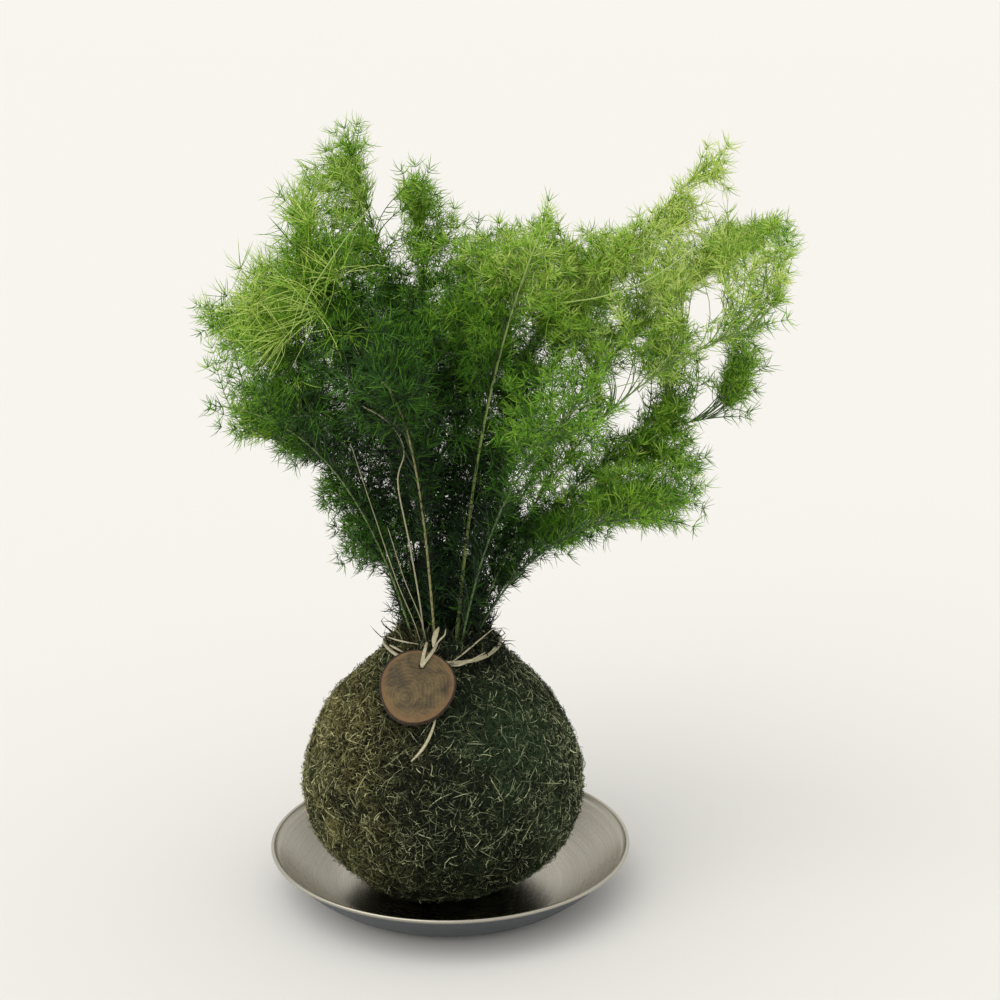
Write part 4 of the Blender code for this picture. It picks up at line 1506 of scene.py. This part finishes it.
    def build(self) -> None:
        """Grows and builds every frond."""
        rng = np.random.default_rng(self.seed)
        pale = [plan for plan in self.plans if plan.pale > self.pale_enough]
        self.shown = [self.centre_line(plan, np.linspace(0.05, 1.0, 110)) for plan in pale]
        self.shown += [smoothed(leader.stops, 70) for leader in self.leaders]
        self.shown += [smoothed(route, 90) for route in self.kept_clear]
        leafy = [self.centre_line(plan, np.linspace(self.twigs_from, 1.0, 52)) for plan in self.plans]
        twigs = self._twigs(rng, leafy)
        needle_material = self.needles.material()
        stalk_material = self.stalks.material()
        for index, plan in enumerate(self.plans):
            number = index + 1
            frond, spray = f"frond_{number:02d}", f"spray_{number:02d}"
            whole = self.centre_line(plan, np.linspace(0.0, 1.0, 28))
            thick = np.linspace(0.00050 + 0.0006 * plan.pale**4, 0.00030, 28)
            stalk = Strands(whole[None], thick[None], np.array([plan.pale]), np.array([plan.dry]), 7)
            dressed(stalk.build(f"{frond}_stalk", index), stalk_material, "stem", f"stem_{number:02d}")
            lines = np.stack(twigs[index])
            radii = np.repeat(np.linspace(0.00032, 0.00018, lines.shape[1])[None], len(lines), axis=0)
            # Painted light and shade: the twigs take their tone from the clouds round their middles.
            light = self.nature(lines[:, 4])[0] * 0.8
            wood = Strands(lines, radii, light, rng.uniform(0.0, 0.7, len(lines)), 4)
            dressed(wood.build(f"{frond}_twigs", index), stalk_material, "leaf", spray)
            shoots = self._shoots(twigs[index], rng)
            keep = self.clear(shoots[:, 2]) & self.clear(shoots[:, 3])
            shoots = shoots[keep]
            radii = np.repeat(np.linspace(0.00022, 0.00014, 4)[None], len(shoots), axis=0)
            # Painted light and shade: the shoots take their tone from the clouds round them.
            light = self.nature(shoots[:, 2])[0] * 0.85
            side = Strands(shoots, radii, light, rng.uniform(0.0, 0.7, len(shoots)), 3)
            dressed(side.build(f"{frond}_shoots", index), stalk_material, "leaf", spray)
            for leader in self.leaders:
                if leader.frond == number:
                    self._leader(leader, stalk_material)
            stem = self.centre_line(plan, np.linspace(self.leafy_from, 1.0, 60))
            spots = [self._whorls(stem, rng, 0.0)]
            spots += [self._whorls(line, rng, self.bare_twig) for line in (*twigs[index], *shoots)]
            roots = np.vstack([spot[0] for spot in spots])
            ways = np.vstack([spot[1] for spot in spots])
            needles = self._needles(roots, ways, rng)
            for burst in self.bursts[index :: len(self.plans)]:
                needles = needles.joined(self._burst(burst, rng))
            dressed(needles.build(f"{frond}_needles", index), needle_material, "leaf", spray)


@dataclass
class WoodTag:
    """A blank slice of a branch with its bark on and a hole near its top."""

    centre: Place = (-0.0142, -0.0405, 0.1199)
    tilt: float = math.radians(38)
    half: tuple[float, float] = (0.0179, 0.0188)
    thickness: float = 0.0036
    hole: tuple[float, float] = (0.0021, 0.0098)
    hole_radius: float = 0.0015
    face: SliceFinish = field(default_factory=SliceFinish)
    bark: CrustFinish = BARK

    def matrix(self) -> Matrix:
        """Places the tag with its face forward and up."""
        return Matrix.Translation(self.centre) @ Matrix.Rotation(math.radians(90) - self.tilt, 4, "X")

    def build(self) -> None:
        """Builds the slice with its bark."""
        steps, rings = 144, 18
        turn = math.tau * np.arange(steps) / steps
        wobble = 1.0 + 0.020 * np.cos(2 * turn - 0.9) + 0.022 * np.cos(3 * turn - 0.6)
        wobble = wobble + 0.006 * np.sin(5 * turn)
        rough = 1.0 + 0.005 * np.sin(31 * turn + 1.0) + 0.004 * np.sin(53 * turn)
        edge = np.stack((np.cos(turn) * self.half[0], np.sin(turn) * self.half[1]), axis=-1) * wobble[:, None]
        hole = np.array(self.hole) + self.hole_radius * np.stack((np.cos(turn), np.sin(turn)), axis=-1)
        top = self.thickness / 2
        layers = []
        reach = []
        for share in np.linspace(0.0, 1.0, rings) ** 0.8:
            reach.append(share)
            flat = hole * (1 - share) + edge * 0.952 * share
            crown = top - 0.00012 * share**2 - (0.00025 if share == 0.0 else 0.0)
            layers.append(np.column_stack((flat, np.full(steps, crown))))
        for grow, drop in ((0.975, 0.00005), (1.0, 0.0006), (1.004, 0.0018), (1.0, 0.0029), (0.990, 0.0034)):
            layers.append(np.column_stack((edge * grow * rough[:, None], np.full(steps, top - drop))))
        for share in np.linspace(0.96, 0.0, 6):
            layers.append(np.column_stack((hole * (1 - share) + edge * share, np.full(steps, -top))))
        count = len(layers)
        points = np.vstack(layers)
        faces: list[list[int]] = []
        bark_from, bark_to = rings - 1, rings + 5
        slots: list[int] = []
        for layer in range(count):
            low, high = layer * steps, (layer + 1) % count * steps
            for step in range(steps):
                after = (step + 1) % steps
                faces.append([low + step, high + step, high + after, low + after])
                slots.append(1 if bark_from <= layer < bark_to else 0)
        tag = solid("wood_slice", points, faces)
        shares = np.repeat(np.array(reach + [0.0] * (count - rings)), steps)
        tag.data.attributes.new("edge", "FLOAT", "POINT").data.foreach_set("value", shares)
        tag.data.materials.append(self.face.material())
        tag.data.materials.append(self.bark.material())
        tag.data.polygons.foreach_set("material_index", slots)
        tag.data.set_sharp_from_angle(angle=math.radians(50))
        tag.matrix_world = self.matrix()
        dressed(tag, tag.data.materials[0], "wood", "wood_tag")


@dataclass
class RaffiaTie:
    """The raffia that ties the tag to the neck: wraps, two strips through the hole, a knot and loose ends."""

    tag: WoodTag
    x: float = PLANT_X
    band_radius: float = 0.0284
    band_z: float = 0.1278
    finish: StrawFinish = field(default_factory=StrawFinish)

    def on_tag(self, right: float, up: float, lift: float) -> Place:
        """A place given from the tag's middle: right, up its face, and out of it."""
        return tuple(self.tag.matrix() @ Vector((right, up, lift)))

    def _band(self) -> None:
        """Builds the wraps round the neck."""
        stops = []
        for step in range(40):
            turn = math.tau * step * 2.0 / 39 - math.pi / 2
            radius = self.band_radius + 0.0005 * math.sin(5 * turn) + 0.0004 * (step // 20)
            height = self.band_z + 0.0006 * math.sin(2 * turn + 1.0) + 0.0007 * (step / 39)
            stops.append((self.x + radius * math.cos(turn), radius * math.sin(turn), height))
        wraps = strip("raffia_wraps", stops, 0.0018, 0.0005, 0.7)
        dressed(wraps, self.finish.material(), "raffia", "raffia_band")

    def build(self) -> None:
        """Builds the wraps, the strips and the ends."""
        self._band()
        material = bpy.data.materials[self.finish.name]
        right, up = self.tag.hole
        hangers = {
            "raffia_left_leg": (
                ((0.0, 0.0002, -0.0030), (-0.0001, -0.0002, 0.0012), (0.0002, 0.0010, 0.0030))
                + ((0.0008, 0.0050, 0.0030), (0.0016, 0.0090, 0.0024), (0.0022, 0.0125, 0.0004)),
                (0.0017, 0.0005, 0.6),
            ),
            "raffia_right_leg": (
                ((0.0003, 0.0001, -0.0030), (0.0002, -0.0002, 0.0014), (0.0012, 0.0012, 0.0032))
                + ((0.0036, 0.0046, 0.0032), (0.0060, 0.0086, 0.0026), (0.0072, 0.0120, 0.0006)),
                (0.0016, 0.0005, 0.6),
            ),
            "raffia_leaf_end": (
                ((0.0054, 0.0092, 0.0026), (0.0058, 0.0130, 0.0030))
                + ((0.0066, 0.0165, 0.0024), (0.0078, 0.0200, 0.0010)),
                (0.0025, 0.0004, 0.15),
            ),
            "raffia_curl": (
                ((0.0062, 0.0098, 0.0030), (0.0082, 0.0122, 0.0038))
                + ((0.0106, 0.0150, 0.0034), (0.0112, 0.0186, 0.0020)),
                (0.0008, 0.0005, 0.4),
            ),
        }
        for name, (offsets, sizes) in hangers.items():
            stops = [self.on_tag(right + across, up + along, lift) for across, along, lift in offsets]
            dressed(strip(name, stops, *sizes), material, "raffia", "raffia_hanger")
        side = (
            (0.0016, -0.0318, 0.1274),
            (0.0059, -0.0310, 0.1276),
            (0.0107, -0.0284, 0.1288),
            (0.0178, -0.0218, 0.1306),
        )
        thin = (
            (0.0024, -0.0300, 0.1290),
            (0.0078, -0.0270, 0.1322),
            (0.0130, -0.0220, 0.1352),
            (0.0215, -0.0140, 0.1400),
        )
        left = ((-0.0285, -0.0150, 0.1322), (-0.0253, -0.0195, 0.1320), (-0.0217, -0.0236, 0.1316))
        upper = ((-0.0300, -0.0110, 0.1350), (-0.0225, -0.0200, 0.1358), (-0.0140, -0.0250, 0.1360))
        low = (
            (-0.0050, -0.0470, 0.1085),
            (-0.0065, -0.0522, 0.1037),
            (-0.0092, -0.0566, 0.0985),
            (-0.0129, -0.0592, 0.0939),
            (-0.0166, -0.0606, 0.0904),
        )
        ends = {
            "raffia_side_strip": (side, (0.0011, 0.0005), "raffia_side_end"),
            "raffia_thin_strip": (thin, (0.0008, 0.0004), "raffia_side_end"),
            "raffia_left_strip": (left, (0.0011, 0.0005), "raffia_side_end"),
            "raffia_upper_strip": (upper, (0.0008, 0.0004), "raffia_side_end"),
            "raffia_low_strip": (low, (0.0014, 0.0006), "raffia_low_end"),
        }
        for name, (stops, (width, thickness), node) in ends.items():
            dressed(strip(name, stops, width, thickness, 0.4), material, "raffia", node)


@dataclass
class DryStalk:
    """Dead pale stalks that stand among the stems. The longest one curls over at its top."""

    routes: tuple[tuple[Place, ...], ...] = (
        (
            (-0.0108, -0.0128, 0.1153),
            (-0.0124, -0.0212, 0.1480),
            (-0.0168, -0.0410, 0.1900),
            (-0.0214, -0.0500, 0.2220),
            (-0.0183, -0.0520, 0.2360),
            (-0.0205, -0.0520, 0.2446),
            (-0.0271, -0.0515, 0.2524),
            (-0.0375, -0.0505, 0.2584),
        ),
        (
            (-0.0100, -0.0110, 0.1153),
            (-0.0150, -0.0210, 0.1420),
            (-0.0235, -0.0330, 0.1700),
            (-0.0330, -0.0420, 0.2050),
            (-0.0430, -0.0460, 0.2400),
        ),
        (
            (-0.0085, -0.0135, 0.1153),
            (-0.0120, -0.0240, 0.1450),
            (-0.0200, -0.0350, 0.1720),
            (-0.0270, -0.0430, 0.2000),
        ),
    )
    thickness: tuple[float, ...] = (0.00040, 0.00026, 0.00026)
    finish: StrawFinish = StrawFinish(name="dead_stalk", pale=(0.46, 0.47, 0.32))

    def build(self) -> None:
        """Builds the stalks."""
        lines = np.stack([smoothed(route, 40) for route in self.routes])
        radii = np.array(self.thickness)[:, None] * np.linspace(1.0, 0.6, 40)
        stalks = Strands(lines, radii, np.full(len(lines), 0.8), np.full(len(lines), 0.9), 7)
        dressed(stalks.build("dead_stalks"), self.finish.material(), "raffia", "dry_stalk")


@dataclass
class Studio:
    """The pale floor, the soft light and the camera."""

    floor_reach: float = 20.0
    floor_rise: float = 400.0
    window_way: Place = (0.50, 0.50, -0.75)
    window_strength: float = 1.02
    air_strength: float = 0.93
    camera_place: Place = VIEWPOINT
    camera_pitch: float = math.radians(14.70)
    lens: float = 66.08
    sensor: float = 36.0
    window_softness: float = math.radians(60)
    window_colour: Colour = (1.0, 0.985, 0.95)
    air_colour: Colour = (1.0, 0.985, 0.96)
    floor: FloorFinish = field(default_factory=FloorFinish)

    def build(self) -> None:
        """Builds the floor, the soft light from the upper left, the pale air and the camera."""
        turn = np.linspace(0.0, 0.15, 13)
        flat = [(radius, 0.0) for radius in (0.5, 2.0, 6.0, 12.0)]
        rise = self.floor_rise
        curve = [(self.floor_reach + rise * math.sin(step), rise - rise * math.cos(step)) for step in turn]
        ground = bowl("studio_floor", np.array([*flat, *curve]), 96)
        ground.data.materials.append(self.floor.material())
        lamp = bpy.data.lights.new("soft_window", "SUN")
        lamp.energy = self.window_strength
        lamp.angle = self.window_softness
        lamp.color = self.window_colour
        holder = bpy.data.objects.new("soft_window", lamp)
        holder.rotation_euler = Vector(self.window_way).to_track_quat("-Z", "Y").to_euler()
        bpy.context.scene.collection.objects.link(holder)
        world = bpy.data.worlds.new("studio_air")
        world.use_nodes = True
        background = world.node_tree.nodes["Background"].inputs
        background["Color"].default_value = (*self.air_colour, 1.0)
        background["Strength"].default_value = self.air_strength
        bpy.context.scene.world = world
        bpy.context.scene.view_settings.view_transform = "Standard"
        lens = bpy.data.cameras.new("studio_camera")
        lens.lens = self.lens
        lens.sensor_width = self.sensor
        camera = bpy.data.objects.new("studio_camera", lens)
        camera.location = self.camera_place
        camera.rotation_euler = (math.pi / 2 - self.camera_pitch, 0.0, 0.0)
        bpy.context.scene.collection.objects.link(camera)
        bpy.context.scene.camera = camera


@dataclass
class HiddenCore:
    """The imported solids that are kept: the soil inside the moss and the crown in its neck."""

    soil: CrustFinish = SOIL
    crown: CrustFinish = CROWN

    def build(self) -> None:
        """Gives both solids their finish."""
        for node, finish in (("soil_core", self.soil), ("root_crown", self.crown)):
            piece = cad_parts[node]
            material = finish.material()
            for place in piece.material_slots:
                place.material = material
            LOG.info("solid %s finished as %s", node, finish.name)


def main() -> None:
    """Builds the studio and every sub-assembly in order."""
    logging.basicConfig(level=logging.INFO, format="%(name)s: %(message)s")
    Studio().build()
    HiddenCore().build()
    Dish().build()
    MossBall().build()
    dead = DryStalk()
    Fern(kept_clear=dead.routes).build()
    tag = WoodTag()
    tag.build()
    RaffiaTie(tag).build()
    dead.build()
    bpy.context.view_layer.update()


if __name__ == "__main__":
    main()
